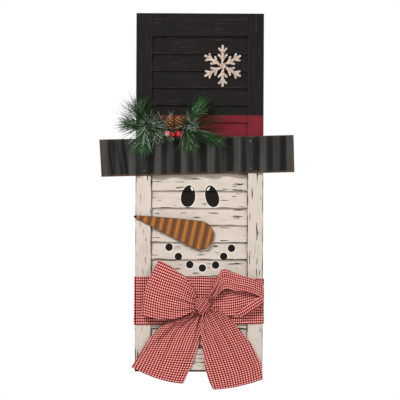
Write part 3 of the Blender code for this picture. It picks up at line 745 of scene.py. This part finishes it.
def make_snowflake():
    outline = []
    for arm in range(6):
        heading = math.pi / 2 - arm * math.pi / 3
        half = half_arm()
        sides = half + [(FLAKE_RADIUS, 0.0)] + [(r, -w) for r, w in reversed(half[1:])]
        for r, w in reversed(sides):
            outline.append((FLAKE_CENTRE[0] + r * math.cos(heading) - w * math.sin(heading),
                            FLAKE_CENTRE[1] + r * math.sin(heading) + w * math.cos(heading)))
    low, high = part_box("snowflake")
    edge = 0.9 * MM
    curve = bpy.data.curves.new("snowflake_outline", "CURVE")
    curve.dimensions = "2D"
    curve.fill_mode = "BOTH"
    curve.extrude = (high.y - low.y) / 2 - edge
    curve.bevel_depth = edge
    curve.bevel_resolution = 2
    curve.offset = -edge
    points = rounded(outline)
    spline = curve.splines.new("POLY")
    spline.points.add(len(points) - 1)
    for point, (x, z) in zip(spline.points, points):
        point.co = (x, z, 0.0, 1.0)
    spline.use_cyclic_u = True
    flake = bpy.data.objects.new("washed_snowflake", curve)
    bpy.context.scene.collection.objects.link(flake)
    bpy.context.view_layer.update()
    mesh = bpy.data.meshes.new_from_object(flake.evaluated_get(bpy.context.evaluated_depsgraph_get()))
    bpy.data.objects.remove(flake)
    mesh.transform(Matrix.Translation((0.0, (low.y + high.y) / 2, 0.0))
                   @ Matrix.Rotation(math.radians(90.0), 4, "X"))
    weld(mesh)
    mesh.materials.clear()
    piece = new_piece("washed_snowflake", mesh, flake_paint())
    smooth(piece, 50.0)
    stand_for(piece, "whitewashed_wood", "snowflake")


def weld(mesh):
    shape = bmesh.new()
    shape.from_mesh(mesh)
    bmesh.ops.remove_doubles(shape, verts=shape.verts, dist=0.00001)
    bmesh.ops.recalc_face_normals(shape, faces=shape.faces)
    shape.to_mesh(mesh)
    shape.free()


# ---------------------------------------------------------------- gingham scarf and bow

RIBBON_WIDTH = 140.0 * MM
CHECK_ALONG = 5.4 * MM
CHECK_ACROSS = 6.9 * MM
CLOTH = 0.6 * MM
KNOT = (9.2, -716.5)


def gingham_cloth():
    """Small red and white check, woven from dyed and plain threads, with a fine thread bump."""
    paint = Paint("gingham_cloth", roughness=0.95, specular=0.04)
    paint.shader.inputs["Sheen Weight"].default_value = 0.04
    paint.shader.inputs["Sheen Roughness"].default_value = 0.5
    sway = paint.noise(paint.scaled(60.0, 60.0, 60.0), 2.0)
    sway = (sway - 0.5) * (1.2 * MM)
    along, across = paint.mapped("flat")
    bars = []
    threads = []
    for place, pitch in ((along + sway, CHECK_ALONG), (across + sway, CHECK_ACROSS)):
        wave = paint.math("SINE", place * (2 * math.pi / pitch))
        bars.append(paint.ramp(wave, 0.02, 0.34))
        threads.append(paint.math("SINE", place * (2 * math.pi / (0.55 * MM))))
    dyed = (bars[0] + bars[1]) * 0.5
    slub = paint.noise(paint.scaled(500.0, 500.0, 500.0), 2.0)
    light = paint.mix(slub, (0.92, 0.49, 0.44), (0.84, 0.39, 0.35))
    medium = paint.mix(slub, (0.38, 0.012, 0.016), (0.32, 0.009, 0.013))
    dark = paint.mix(slub, (0.022, 0.001, 0.002), (0.015, 0.001, 0.001))
    colour = paint.mix(paint.ramp(dyed, 0.05, 0.45), light, medium)
    paint.colour(paint.mix(paint.ramp(dyed, 0.55, 0.95), colour, dark))
    weave = threads[0] * threads[1]
    paint.bump(weave + slub * 0.8, 0.22, 0.25 * MM)
    return paint.material


def between(a, b, share):
    return [p + (q - p) * share for p, q in zip(a, b)]


def through(stations, share):
    """A smooth curve through the stations, which are equally spaced in share."""
    spot = min(max(share, 0.0), 1.0) * (len(stations) - 1)
    index = min(int(spot), len(stations) - 2)
    t = spot - index
    before = stations[max(index - 1, 0)]
    start, end = stations[index], stations[index + 1]
    after = stations[min(index + 2, len(stations) - 1)]
    return [0.5 * (2 * b + (c - a) * t + (2 * a - 5 * b + 4 * c - d) * t * t
                   + (3 * b - a - 3 * c + d) * t ** 3)
            for a, b, c, d in zip(before, start, end, after)]


def ribbon(name, stations, cloth, relief, columns=160, rows=80, squeeze=0.5, fray=0.0):
    """A ribbon lofted through its stations, in millimetres.

    A station is its upper edge (x, y, z), its lower edge (x, y, z) and how far its middle
    bows in x and z. The relief gives how far a point stands forward, from its two shares.
    """
    samples = [through(stations, i / columns) for i in range(columns + 1)]
    middles = [Vector(between(s[0:3], s[3:6], 0.5)) for s in samples]
    run = [0.0]
    for a, b in zip(middles, middles[1:]):
        run.append(run[-1] + (b - a).length * MM)
    rng = random.Random(name)
    jitter = [rng.uniform(-1.0, 1.0) for _ in range(rows + 1)]

    def sample(u):
        return samples[round(u * columns)]

    def place(u, v):
        s = sample(u)
        x, y, z = between(s[0:3], s[3:6], v)
        crown = 4 * v * (1 - v)
        y -= relief(u, v)
        point = Vector((x + s[6] * crown, y, z + s[7] * crown))
        if u == 1.0 and fray:
            point.z += fray * jitter[round(v * rows)]
        return point * MM

    def flat(u, v):
        s = sample(u)
        width = (Vector(s[0:3]) - Vector(s[3:6])).length * MM
        cut = RIBBON_WIDTH ** squeeze * width ** (1 - squeeze)
        return run[round(u * columns)], (v - 0.5) * cut

    piece = new_piece(name, grid_mesh(name, columns, rows, place, flat), cloth)
    thicken(piece, CLOTH)
    settle(piece)
    smooth(piece, 60.0)
    return piece


def pleats(u, v, depth, count, fade, phase=0.0):
    """Knife pleats, each lapped over the next, which leave the knot and die out further on."""
    turn = (count * v + phase) % 1.0
    lap = turn / 0.84 if turn < 0.84 else (1.0 - turn) / 0.16
    return depth * max(0.0, 1.0 - u / fade) ** 0.8 * (lap * lap * (3.0 - 2.0 * lap) - 0.6)


def step_fold(u, v, at, depth, fade, softness=0.03):
    """One layer lapped over the next at a line that starts at the knot."""
    side = 1.0 / (1.0 + math.exp((v - at) / softness))
    return depth * side * max(0.0, 1.0 - u / fade) ** 0.7


def ripple(x, z, height, reach):
    return height * noise.noise(Vector((x / reach, z / reach, height)))


def make_tails(cloth):
    left = [(-1, -37, -724, 6, -36, -733, 0, 0),
            (-38, -34, -744, 5, -31, -748, 0, 0),
            (-84, -30, -762, 4.5, -28, -770, 0, 0),
            (-118, -28, -793, 3, -27.5, -796, 0, 0),
            (-142, -28, -827, -5, -28, -831, 1, -2),
            (-158, -29, -853, -22, -29, -878, 1, -5),
            (-171.5, -30, -874.4, -38.5, -31, -915.8, 2, -9)]
    right = [(12.5, -37, -733, 26, -38, -712, 0, 0),
             (4.8, -32, -755, 52, -35, -727, 0, 0),
             (5, -29, -792, 88, -31, -759, 0, 0),
             (9, -28.5, -830, 122, -29, -798, 1, -1),
             (16, -29, -869, 147, -29, -840, 2, -3),
             (25, -30, -904, 161, -30, -868, 2, -4),
             (37.5, -31, -931, 164, -31, -904, 1, -5)]

    def left_relief(u, v):
        fold = step_fold(u, v, 0.50 - 0.62 * u, 9.0, 1.3, 0.012)
        wave = 1.5 * u * math.sin(2 * math.pi * (1.6 * v + 0.1)) + 1.5 * u
        return fold + pleats(u, v, 9.0, 4.4, 1.0) + wave + ripple(u * 9, v * 9, 0.8, 1.7)

    def right_relief(u, v):
        fold = step_fold(u, v, 0.56 + 0.08 * u, 9.0, 0.95, 0.012)
        wave = 1.6 * u * math.sin(2 * math.pi * (1.4 * v + 0.45)) + 1.6 * u
        return 0.8 + fold + pleats(u, v, 9.0, 4.4, 1.0, 0.3) + wave + ripple(u * 9, v * 9, 0.8, 1.3)

    for side, stations, relief in (("left", left, left_relief), ("right", right, right_relief)):
        tail = ribbon(f"ribbon_tail_{side}", stations, cloth, relief, fray=0.5, squeeze=0.4)
        stand_for(tail, "gingham_cotton", f"bow_tail_{side}")


def make_left_loop(cloth):
    stations = [(-3, -41, -703, -5, -41, -722, 0, 0),
                (-14, -50, -676, -24, -49, -736, -5, 0),
                (-36, -56, -643, -58, -54, -749.5, -7, 0),
                (-70, -58, -619, -101, -55, -751, -9, 0),
                (-94, -54, -604, -135, -51, -745.5, -12, 1),
                (-101, -46, -600.5, -143, -44, -743, -13, 1),
                (-95, -38, -606, -136, -37, -741, -12, 1),
                (-56, -34, -636, -80, -33, -741, -7, 0),
                (-5, -36, -702, -8, -36, -721, 0, 0)]

    def relief(u, v):
        near = min(u, 1.0 - u)
        lap = step_fold(near, v, 0.52, 5.0, 0.52, 0.015)
        front = 1.0 if u < 0.5 else 0.35
        body = 3.0 * math.sin(math.pi * v) * math.sin(math.pi * min(1.0, 2.0 * near))
        return front * (body + lap + pleats(near, v, 8.0, 3.6, 0.42)) + ripple(u * 12, v * 8, 0.7, 1.5)

    loop = ribbon("ribbon_loop_left", stations, cloth, relief, columns=260, squeeze=0.4)
    stand_for(loop, "gingham_cotton", "bow_loop_left")


def make_right_loop(cloth):
    stations = [(20, -42, -704, 25, -41, -709, 0, 0),
                (35, -52, -672, 45, -51, -692, 0, 0),
                (58.5, -57, -625, 66, -54, -674, -1, 0),
                (90, -57, -632.5, 98, -54, -678, 0, 0),
                (124, -55, -643.5, 128, -53, -682, 0, 0),
                (148, -50, -652, 150, -50, -690, 0, 0),
                (162, -43, -655, 164, -44, -702, 2, 0),
                (157, -36, -658, 158, -39, -716, 2, 0),
                (130, -32.5, -661, 130, -35, -733, 0, 0),
                (95, -32, -668, 99, -34, -744, 0, 0),
                (62, -33, -684, 62, -34.5, -737.5, 0, 0),
                (24, -35, -704, 26, -35, -721, 0, 0)]

    def relief(u, v):
        near = min(u, 1.0 - u)
        edge = 1.6 * math.sin(math.pi * v) * math.sin(math.pi * min(1.0, 2.0 * near))
        front = 1.0 if u < 0.5 else 0.5
        return front * (edge + pleats(near, v, 7.0, 2.6, 0.42)) + ripple(u * 12, v * 8, 0.6, 1.1)

    loop = ribbon("ribbon_loop_right", stations, cloth, relief, columns=280, rows=44, squeeze=0.12)
    stand_for(loop, "gingham_cotton", "bow_loop_right")

    roll = [(97, -38, -734, 104, -38, -745, 0, 0),
            (113, -44, -722, 120, -43, -740, 0, 0),
            (131, -47, -709, 138, -46, -729, 0, 0),
            (149, -48, -697, 156, -47, -717, 0, 0),
            (163, -45, -689, 166, -44, -709, 0, 0)]

    def round_back(u, v):
        return 4.0 * math.sin(math.pi * v)

    strip = ribbon("ribbon_loop_right_edge", roll, cloth, round_back, columns=70, rows=20, squeeze=0.0)
    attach(strip, "panel")


def make_knot(cloth):
    half_width, half_height = 19.0, 22.0

    def place(u, v):
        turn = 2 * math.pi * u
        ring = math.sin(0.5 * math.pi * v)
        uneven = 1.0 + 0.05 * math.sin(3 * turn + 0.7) + 0.03 * math.sin(7 * turn)
        x = half_width * ring * uneven * math.cos(turn)
        z = half_height * ring * uneven * math.sin(turn)
        dome = math.cos(0.5 * math.pi * v) ** 0.8
        pleat = 1.0 - 2.0 * abs(math.sin(math.pi * (x * 0.82 - z * 0.57) / 8.5)) ** 0.6
        y = -37.0 - 18.0 * dome + 2.6 * pleat * min(1.0, 3.0 * (1.0 - v) + 0.15)
        return Vector((KNOT[0] + x, y, KNOT[1] + z)) * MM

    def flat(u, v):
        point = place(u, v)
        lean = math.radians(35.0)
        across = (point.x * math.cos(lean) - point.z * math.sin(lean)) * 1.5
        along = point.x * math.sin(lean) + point.z * math.cos(lean)
        return along, across

    mesh = grid_mesh("ribbon_knot", 96, 30, place, flat)
    weld(mesh)
    knot = new_piece("ribbon_knot", mesh, cloth)
    thicken(knot, CLOTH)
    settle(knot)
    smooth(knot, 60.0)
    stand_for(knot, "gingham_cotton", "bow_knot")


def make_band(cloth):
    """The scarf goes once round the board, a little slack, with soft wrinkles."""
    low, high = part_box("scarf_band")
    half_x = (high.x - low.x) / 2 - 0.4 * MM
    front, back = low.y + 0.4 * MM, high.y - 0.4 * MM
    corner = 2.2 * MM
    straight_x = 2 * (half_x - corner)
    straight_y = (back - front) - 2 * corner
    arc = 0.5 * math.pi * corner
    lengths = [straight_x, arc, straight_y, arc, straight_x, arc, straight_y, arc]
    perimeter = sum(lengths)

    def outline(distance):
        """(x, y) and outward normal at a distance round the board, from the front left."""
        centres = [(half_x - corner, front + corner), (half_x - corner, back - corner),
                   (corner - half_x, back - corner), (corner - half_x, front + corner)]
        starts = [(corner - half_x, front, 1, 0), (half_x, front + corner, 0, 1),
                  (half_x - corner, back, -1, 0), (-half_x, back - corner, 0, -1)]
        for side in range(4):
            run, bend = lengths[2 * side], lengths[2 * side + 1]
            x, y, dx, dy = starts[side]
            if distance <= run:
                return x + dx * distance, y + dy * distance, dy, -dx
            distance -= run
            if distance <= bend:
                turn = math.radians(90.0 * side - 90.0) + distance / corner
                cx, cy = centres[side]
                nx, ny = math.cos(turn), math.sin(turn)
                return cx + nx * corner, cy + ny * corner, nx, ny
            distance -= bend
        return starts[0][0], starts[0][1], 0, -1

    def place(u, v):
        x, y, nx, ny = outline((u % 1.0) * perimeter)
        z = low.z + v * (high.z - low.z)
        right = max(0.0, x / half_x)
        z += (4.0 * MM * right) * (0.5 - v) * 2 + 1.0 * MM * noise.noise(Vector((x * 14, y * 9, v)))
        wrinkle = noise.noise(Vector((x * 22, y * 22, z * 60))) + 0.2
        away = 0.2 * MM + 1.3 * MM * max(0.0, wrinkle)
        return Vector((x + nx * away, y + ny * away, z))

    def flat(u, v):
        return u * perimeter, v * (high.z - low.z)

    mesh = grid_mesh("gathered_scarf", 420, 44, place, flat)
    weld(mesh)
    band = new_piece("gathered_scarf", mesh, cloth)
    thicken(band, CLOTH, 1.0)
    settle(band)
    smooth(band, 60.0)
    stand_for(band, "gingham_cotton", "scarf_band")


def make_scarf():
    cloth = gingham_cloth()
    make_band(cloth)
    make_tails(cloth)
    make_left_loop(cloth)
    make_right_loop(cloth)
    make_knot(cloth)


# ---------------------------------------------------------------- pine sprig, cones and berries

LEFT_BURST = (-142.0, -46.5, -262.7)
RIGHT_BURST = (-38.4, -46.5, -263.2)
# Each branch: where it starts, where it ends, how far its needles reach, how many there are,
# how far they spread in degrees, and the shares of bright green and of white flocked needles
BRANCHES = [(LEFT_BURST, (-188, -52, -252), 72, 160, 62.0, 0.12, 0.24),
            (LEFT_BURST, (-160, -56, -212), 92, 150, 56.0, 0.25, 0.14),
            (LEFT_BURST, (-146, -56, -308), 80, 150, 60.0, 0.40, 0.18),
            (LEFT_BURST, (-126, -84, -246), 68, 170, 78.0, 0.12, 0.34),
            (RIGHT_BURST, (9, -52, -196), 98, 140, 30.0, 0.55, 0.10),
            (RIGHT_BURST, (56, -54, -298), 112, 110, 20.0, 0.50, 0.06),
            (RIGHT_BURST, (-24, -60, -306), 74, 120, 48.0, 0.45, 0.18),
            (RIGHT_BURST, (-22, -84, -250), 68, 170, 78.0, 0.12, 0.34)]
DARK_PICK, BRIGHT_PICK, WHITE_PICK = 0.2, 0.6, 0.9
FORWARD_BEND = -62.0
FORWARD_SOFT = 28.0


def needle_paint():
    """Needle colour from the needle's own pick, frosted along its length where it is flocked."""
    paint = Paint("needle_paint", roughness=0.55, specular=0.3)
    pick, along = paint.mapped("needle")
    shade = paint.noise(paint.scaled(160.0, 160.0, 160.0), 2.0)
    dark = paint.mix(paint.ramp(shade, 0.35, 0.65), (0.010, 0.028, 0.010), (0.030, 0.058, 0.022))
    bright = paint.mix(paint.ramp(shade, 0.35, 0.65), (0.016, 0.085, 0.016), (0.045, 0.165, 0.030))
    colour = paint.mix(paint.ramp(pick, 0.38, 0.42), dark, bright)
    flock = paint.ramp(pick, 0.78, 0.82) * paint.ramp(along, 0.15, 0.45)
    patchy = paint.ramp(paint.noise(paint.scaled(420.0, 420.0, 420.0), 2.0), 0.34, 0.5)
    paint.colour(paint.mix(flock * patchy, colour, (0.56, 0.64, 0.58)))
    return paint.material


def kept_inside(point):
    """Keeps a needle's point, in mm, off the board and the brim, and bends it back far forward."""
    share = min(1.0, max(0.0, (-270.0 - point.z) / 12.0))
    point.y = min(point.y, -23.6 - 14.4 * share)
    if point.y < FORWARD_BEND:
        over = FORWARD_BEND - point.y
        point.y = FORWARD_BEND - FORWARD_SOFT * (1.0 - math.exp(-over / FORWARD_SOFT))
    return point


def add_needle(verts, faces, picks, root, direction, length, thickness, bend, pick):
    """A closed three-sided needle that tapers to a point."""
    side = direction.orthogonal().normalized()
    other = direction.cross(side)
    first = len(verts)
    rings = 4
    for ring in range(rings):
        share = ring / rings
        middle = kept_inside(root + direction * length * share + bend * share * share)
        radius = thickness * (1.0 - 0.55 * share)
        for corner in range(3):
            turn = 2 * math.pi * corner / 3
            verts.append((middle + side * radius * math.cos(turn)
                          + other * radius * math.sin(turn)) * MM)
            picks.append((pick, share))
        if ring:
            a = first + 3 * (ring - 1)
            for corner in range(3):
                after = (corner + 1) % 3
                faces.append((a + corner, a + after, a + 3 + after, a + 3 + corner))
    verts.append(kept_inside(root + direction * length + bend) * MM)
    picks.append((pick, 1.0))
    last = first + 3 * (rings - 1)
    for corner in range(3):
        faces.append((last + corner, last + (corner + 1) % 3, len(verts) - 1))
    faces.append((first + 2, first + 1, first))


def needle_mesh(name, verts, faces, picks):
    mesh = bpy.data.meshes.new(name)
    mesh.from_pydata(verts, [], faces)
    layer = mesh.uv_layers.new(name="needle")
    for loop in mesh.loops:
        layer.data[loop.index].uv = picks[loop.vertex_index]
    return mesh


def choose(rng, bright, white):
    draw = rng.random()
    if draw < white:
        return WHITE_PICK
    return BRIGHT_PICK if draw < white + bright else DARK_PICK


def make_branch(number, branch, paint):
    start, end, reach, count, spread, bright, white = branch
    rng = random.Random(100 + number)
    start, end = Vector(start), Vector(end)
    axis = end - start
    heading = axis.normalized()
    side = heading.orthogonal().normalized()
    other = heading.cross(side)
    verts, faces, picks = [], [], []
    add_needle(verts, faces, picks, start - heading * 4.0, heading, axis.length * 0.8, 1.7,
               Vector((0.0, 0.0, 0.0)), DARK_PICK)
    for _ in range(count):
        share = 0.85 * rng.random()
        tilt = math.radians(spread * rng.random() ** 0.6 * (1.0 - 0.3 * share))
        turn = rng.uniform(0.0, 2 * math.pi)
        direction = (heading * math.cos(tilt)
                     + (side * math.cos(turn) + other * math.sin(turn)) * math.sin(tilt))
        length = max(34.0, reach - axis.length * share) * rng.uniform(0.74, 1.05)
        bend = Vector((rng.uniform(-12, 12), rng.uniform(-5, 5), rng.uniform(-13, 9)))
        pick = choose(rng, bright, white)
        if pick == WHITE_PICK:
            length *= 0.72
        add_needle(verts, faces, picks, start + axis * share, direction, length,
                   rng.uniform(0.62, 0.92), bend, pick)
    name = f"pine_needles_{number}"
    piece = new_piece(name, needle_mesh(name, verts, faces, picks), paint)
    stand_for(piece, "pine_needles", f"pine_branch_{number}")


def make_middle_needles(paint):
    """Dark needles along the stem behind the cones, and a few long ones that reach to the right."""
    rng = random.Random(77)
    verts, faces, picks = [], [], []
    for index in range(420):
        reach = -90.0 if index % 4 else -46.0
        root = Vector((rng.uniform(-138.0, reach), -41.5, -264.0 + 3.0 * rng.random()))
        turn = rng.uniform(0.0, 2 * math.pi)
        direction = Vector((math.cos(turn), -0.10 - 0.45 * rng.random(), 0.95 * math.sin(turn)))
        bend = Vector((rng.uniform(-9.0, 9.0), 0.0, rng.uniform(-9.0, 7.0)))
        add_needle(verts, faces, picks, root, direction.normalized(), rng.uniform(30.0, 54.0), 0.75,
                   bend, choose(rng, 0.14, 0.26))
    for _ in range(30):
        root = Vector((rng.uniform(-24.0, 6.0), -44.0, -260.0 + 8.0 * rng.random()))
        turn = math.radians(rng.uniform(-14.0, 44.0))
        direction = Vector((math.cos(turn), -0.12, math.sin(turn))).normalized()
        add_needle(verts, faces, picks, root, direction, rng.uniform(62.0, 112.0), 0.55,
                   Vector((0.0, 0.0, rng.uniform(-8.0, 0.0))), DARK_PICK)
    piece = new_piece("stem_needles", needle_mesh("stem_needles", verts, faces, picks), paint)
    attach(piece, "panel")


def cone_paint():
    paint = Paint("cone_paint", roughness=0.7, specular=0.2)
    _, along = paint.mapped("needle")
    streak = paint.noise(paint.scaled(500.0, 500.0, 500.0), 2.0)
    wood = paint.mix(streak, (0.085, 0.030, 0.010), (0.20, 0.075, 0.022))
    tip = paint.mix(streak, (0.36, 0.16, 0.055), (0.58, 0.34, 0.17))
    # Painted shade: each scale and the core darken to near black toward the core, deep between the
    # scales.
    colour = paint.mix(paint.ramp(along, 0.2, 0.8), (0.014, 0.005, 0.003), wood)
    paint.colour(paint.mix(paint.ramp(along, 0.84, 1.0), colour, tip))
    return paint.material


def add_scale(verts, faces, picks, root, outward, upward, length, width):
    """A closed, cupped cone scale: narrow at the core, widest near its blunt tip."""
    across = outward.cross(upward).normalized()
    first = len(verts)
    stations = [(0.0, 0.30, 1.0), (0.55, 0.85, 1.1), (0.85, 1.0, 1.5), (1.0, 0.55, 1.0)]
    for share, wide, thick in stations:
        lift = upward * (length * 0.42 * share * share)
        middle = root + outward * length * share + lift
        for sx, sz in ((-0.5, -0.35), (0.5, -0.35), (0.5, 0.35), (-0.5, 0.35)):
            verts.append((middle + across * width * wide * sx + upward * thick * sz) * MM)
            picks.append((0.5, share))
    for ring in range(len(stations) - 1):
        a = first + 4 * ring
        for corner in range(4):
            after = (corner + 1) % 4
            faces.append((a + corner, a + after, a + 4 + after, a + 4 + corner))
    last = first + 4 * (len(stations) - 1)
    faces.append((first + 3, first + 2, first + 1, first))
    faces.append((last, last + 1, last + 2, last + 3))


def make_cone(number, middle, lean, paint):
    radius, length = 12.6, 35.0
    turn = math.radians(lean)
    axis = Vector((math.sin(turn), -0.12, math.cos(turn))).normalized()
    side = axis.orthogonal().normalized()
    other = axis.cross(side)
    verts, faces, picks = [], [], []
    rings, corners = 12, 16
    for ring in range(rings + 1):
        angle = math.pi * (0.02 + 0.96 * ring / rings)
        for corner in range(corners):
            around = 2 * math.pi * corner / corners
            out = (side * math.cos(around) + other * math.sin(around)) * radius * 0.42 * math.sin(angle)
            verts.append((Vector(middle) + out - axis * length * 0.46 * math.cos(angle)) * MM)
            picks.append((0.5, 0.0))
    for ring in range(rings):
        for corner in range(corners):
            a = ring * corners + corner
            b = ring * corners + (corner + 1) % corners
            faces.append((a, b, b + corners, a + corners))
    faces.append(tuple(range(corners - 1, -1, -1)))
    faces.append(tuple(rings * corners + corner for corner in range(corners)))
    count = 46
    for index in range(count):
        share = (index + 0.5) / count
        around = index * math.radians(137.508)
        bulge = math.sin(math.pi * (0.12 + 0.80 * share)) ** 0.8
        outward = side * math.cos(around) + other * math.sin(around)
        root = Vector(middle) + axis * length * (share - 0.52) * 0.92 + outward * radius * 0.30 * bulge
        rise = 0.05 + 0.75 * share
        heading = (outward + axis * rise).normalized()
        upward = (axis - heading * axis.dot(heading)).normalized()
        add_scale(verts, faces, picks, root, heading, upward, radius * 0.86 * bulge, 7.6 * bulge + 1.4)
    mesh = needle_mesh(f"scaled_cone_{number}", verts, faces, picks)
    piece = new_piece(f"scaled_cone_{number}", mesh, paint)
    smooth(piece, 35.0)
    stand_for(piece, "cone_scales", f"pine_cone_{number}")


def berry_paint(name, frost):
    paint = Paint(name, roughness=0.16, specular=0.55)
    cloud = paint.noise(paint.scaled(160.0, 160.0, 160.0), 3.0)
    red = paint.mix(cloud, (0.52, 0.004, 0.010), (0.38, 0.003, 0.008))
    dust = paint.ramp(paint.noise(paint.scaled(330.0, 330.0, 330.0), 3.0), 0.62 - frost, 0.80 - frost)
    paint.colour(paint.mix(dust * min(1.0, 0.2 + 2.0 * frost), red,
                           (0.80, 0.55, 0.52)))
    return paint.material


def make_berry(number, middle, radius, paint):
    mesh = bpy.data.meshes.new(f"glossy_berry_{number}")
    shape = bmesh.new()
    bmesh.ops.create_uvsphere(shape, u_segments=28, v_segments=18, radius=radius * MM)
    for vert in shape.verts:
        pole = max(0.0, vert.co.normalized().z - 0.86) / 0.14
        vert.co.z -= 0.25 * radius * MM * pole * pole
    bmesh.ops.translate(shape, verts=shape.verts, vec=Vector(middle) * MM)
    shape.to_mesh(mesh)
    shape.free()
    piece = new_piece(f"glossy_berry_{number}", mesh, paint)
    smooth(piece, 60.0)
    stand_for(piece, "berry_lacquer", f"berry_{number}")


def make_sprig():
    needles = needle_paint()
    for number, branch in enumerate(BRANCHES, 1):
        make_branch(number, branch, needles)
    make_middle_needles(needles)
    scales = cone_paint()
    make_cone(1, (-76.6, -57.0, -254.0), 8.0, scales)
    make_cone(2, (-51.8, -62.0, -252.4), -8.0, scales)
    clear, frosted = berry_paint("clear_berry", 0.0), berry_paint("frosted_berry", 0.22)
    make_berry(1, (-53.5, -76.0, -278.4), 7.5, clear)
    make_berry(2, (-82.1, -71.0, -277.3), 6.6, frosted)
    make_berry(3, (-67.0, -64.0, -280.1), 5.5, clear)
    bark = Paint("sprig_bark", roughness=0.85)
    rough = bark.noise(bark.scaled(300.0, 300.0, 300.0), 3.0)
    bark.colour(bark.mix(rough, (0.055, 0.040, 0.020), (0.12, 0.085, 0.045)))
    bark.bump(rough, 0.4, 0.4 * MM)
    paint_node("sprig_stem", bark.material)


# ---------------------------------------------------------------- hangers on the back

def finish_hangers():
    zinc = Paint("hanger_zinc", roughness=0.38, metallic=0.9, specular=0.5)
    cloud = zinc.noise(zinc.scaled(300.0, 300.0, 300.0), 3.0)
    zinc.colour(zinc.mix(cloud, (0.62, 0.62, 0.60), (0.44, 0.44, 0.43)))
    zinc.rough(zinc.mix(cloud, (0.30, 0.30, 0.30), (0.48, 0.48, 0.48)))
    for side in (1, 2):
        for kind in ("strap", "screw", "ring"):
            paint_node(f"hanger_{kind}_{side}", zinc.material)


make_camera()
make_studio()
make_floor()
finish_frame()
make_brim()
dark_nails()
make_nose()
finish_spacer()
make_snowflake()
make_scarf()
make_sprig()
finish_hangers()
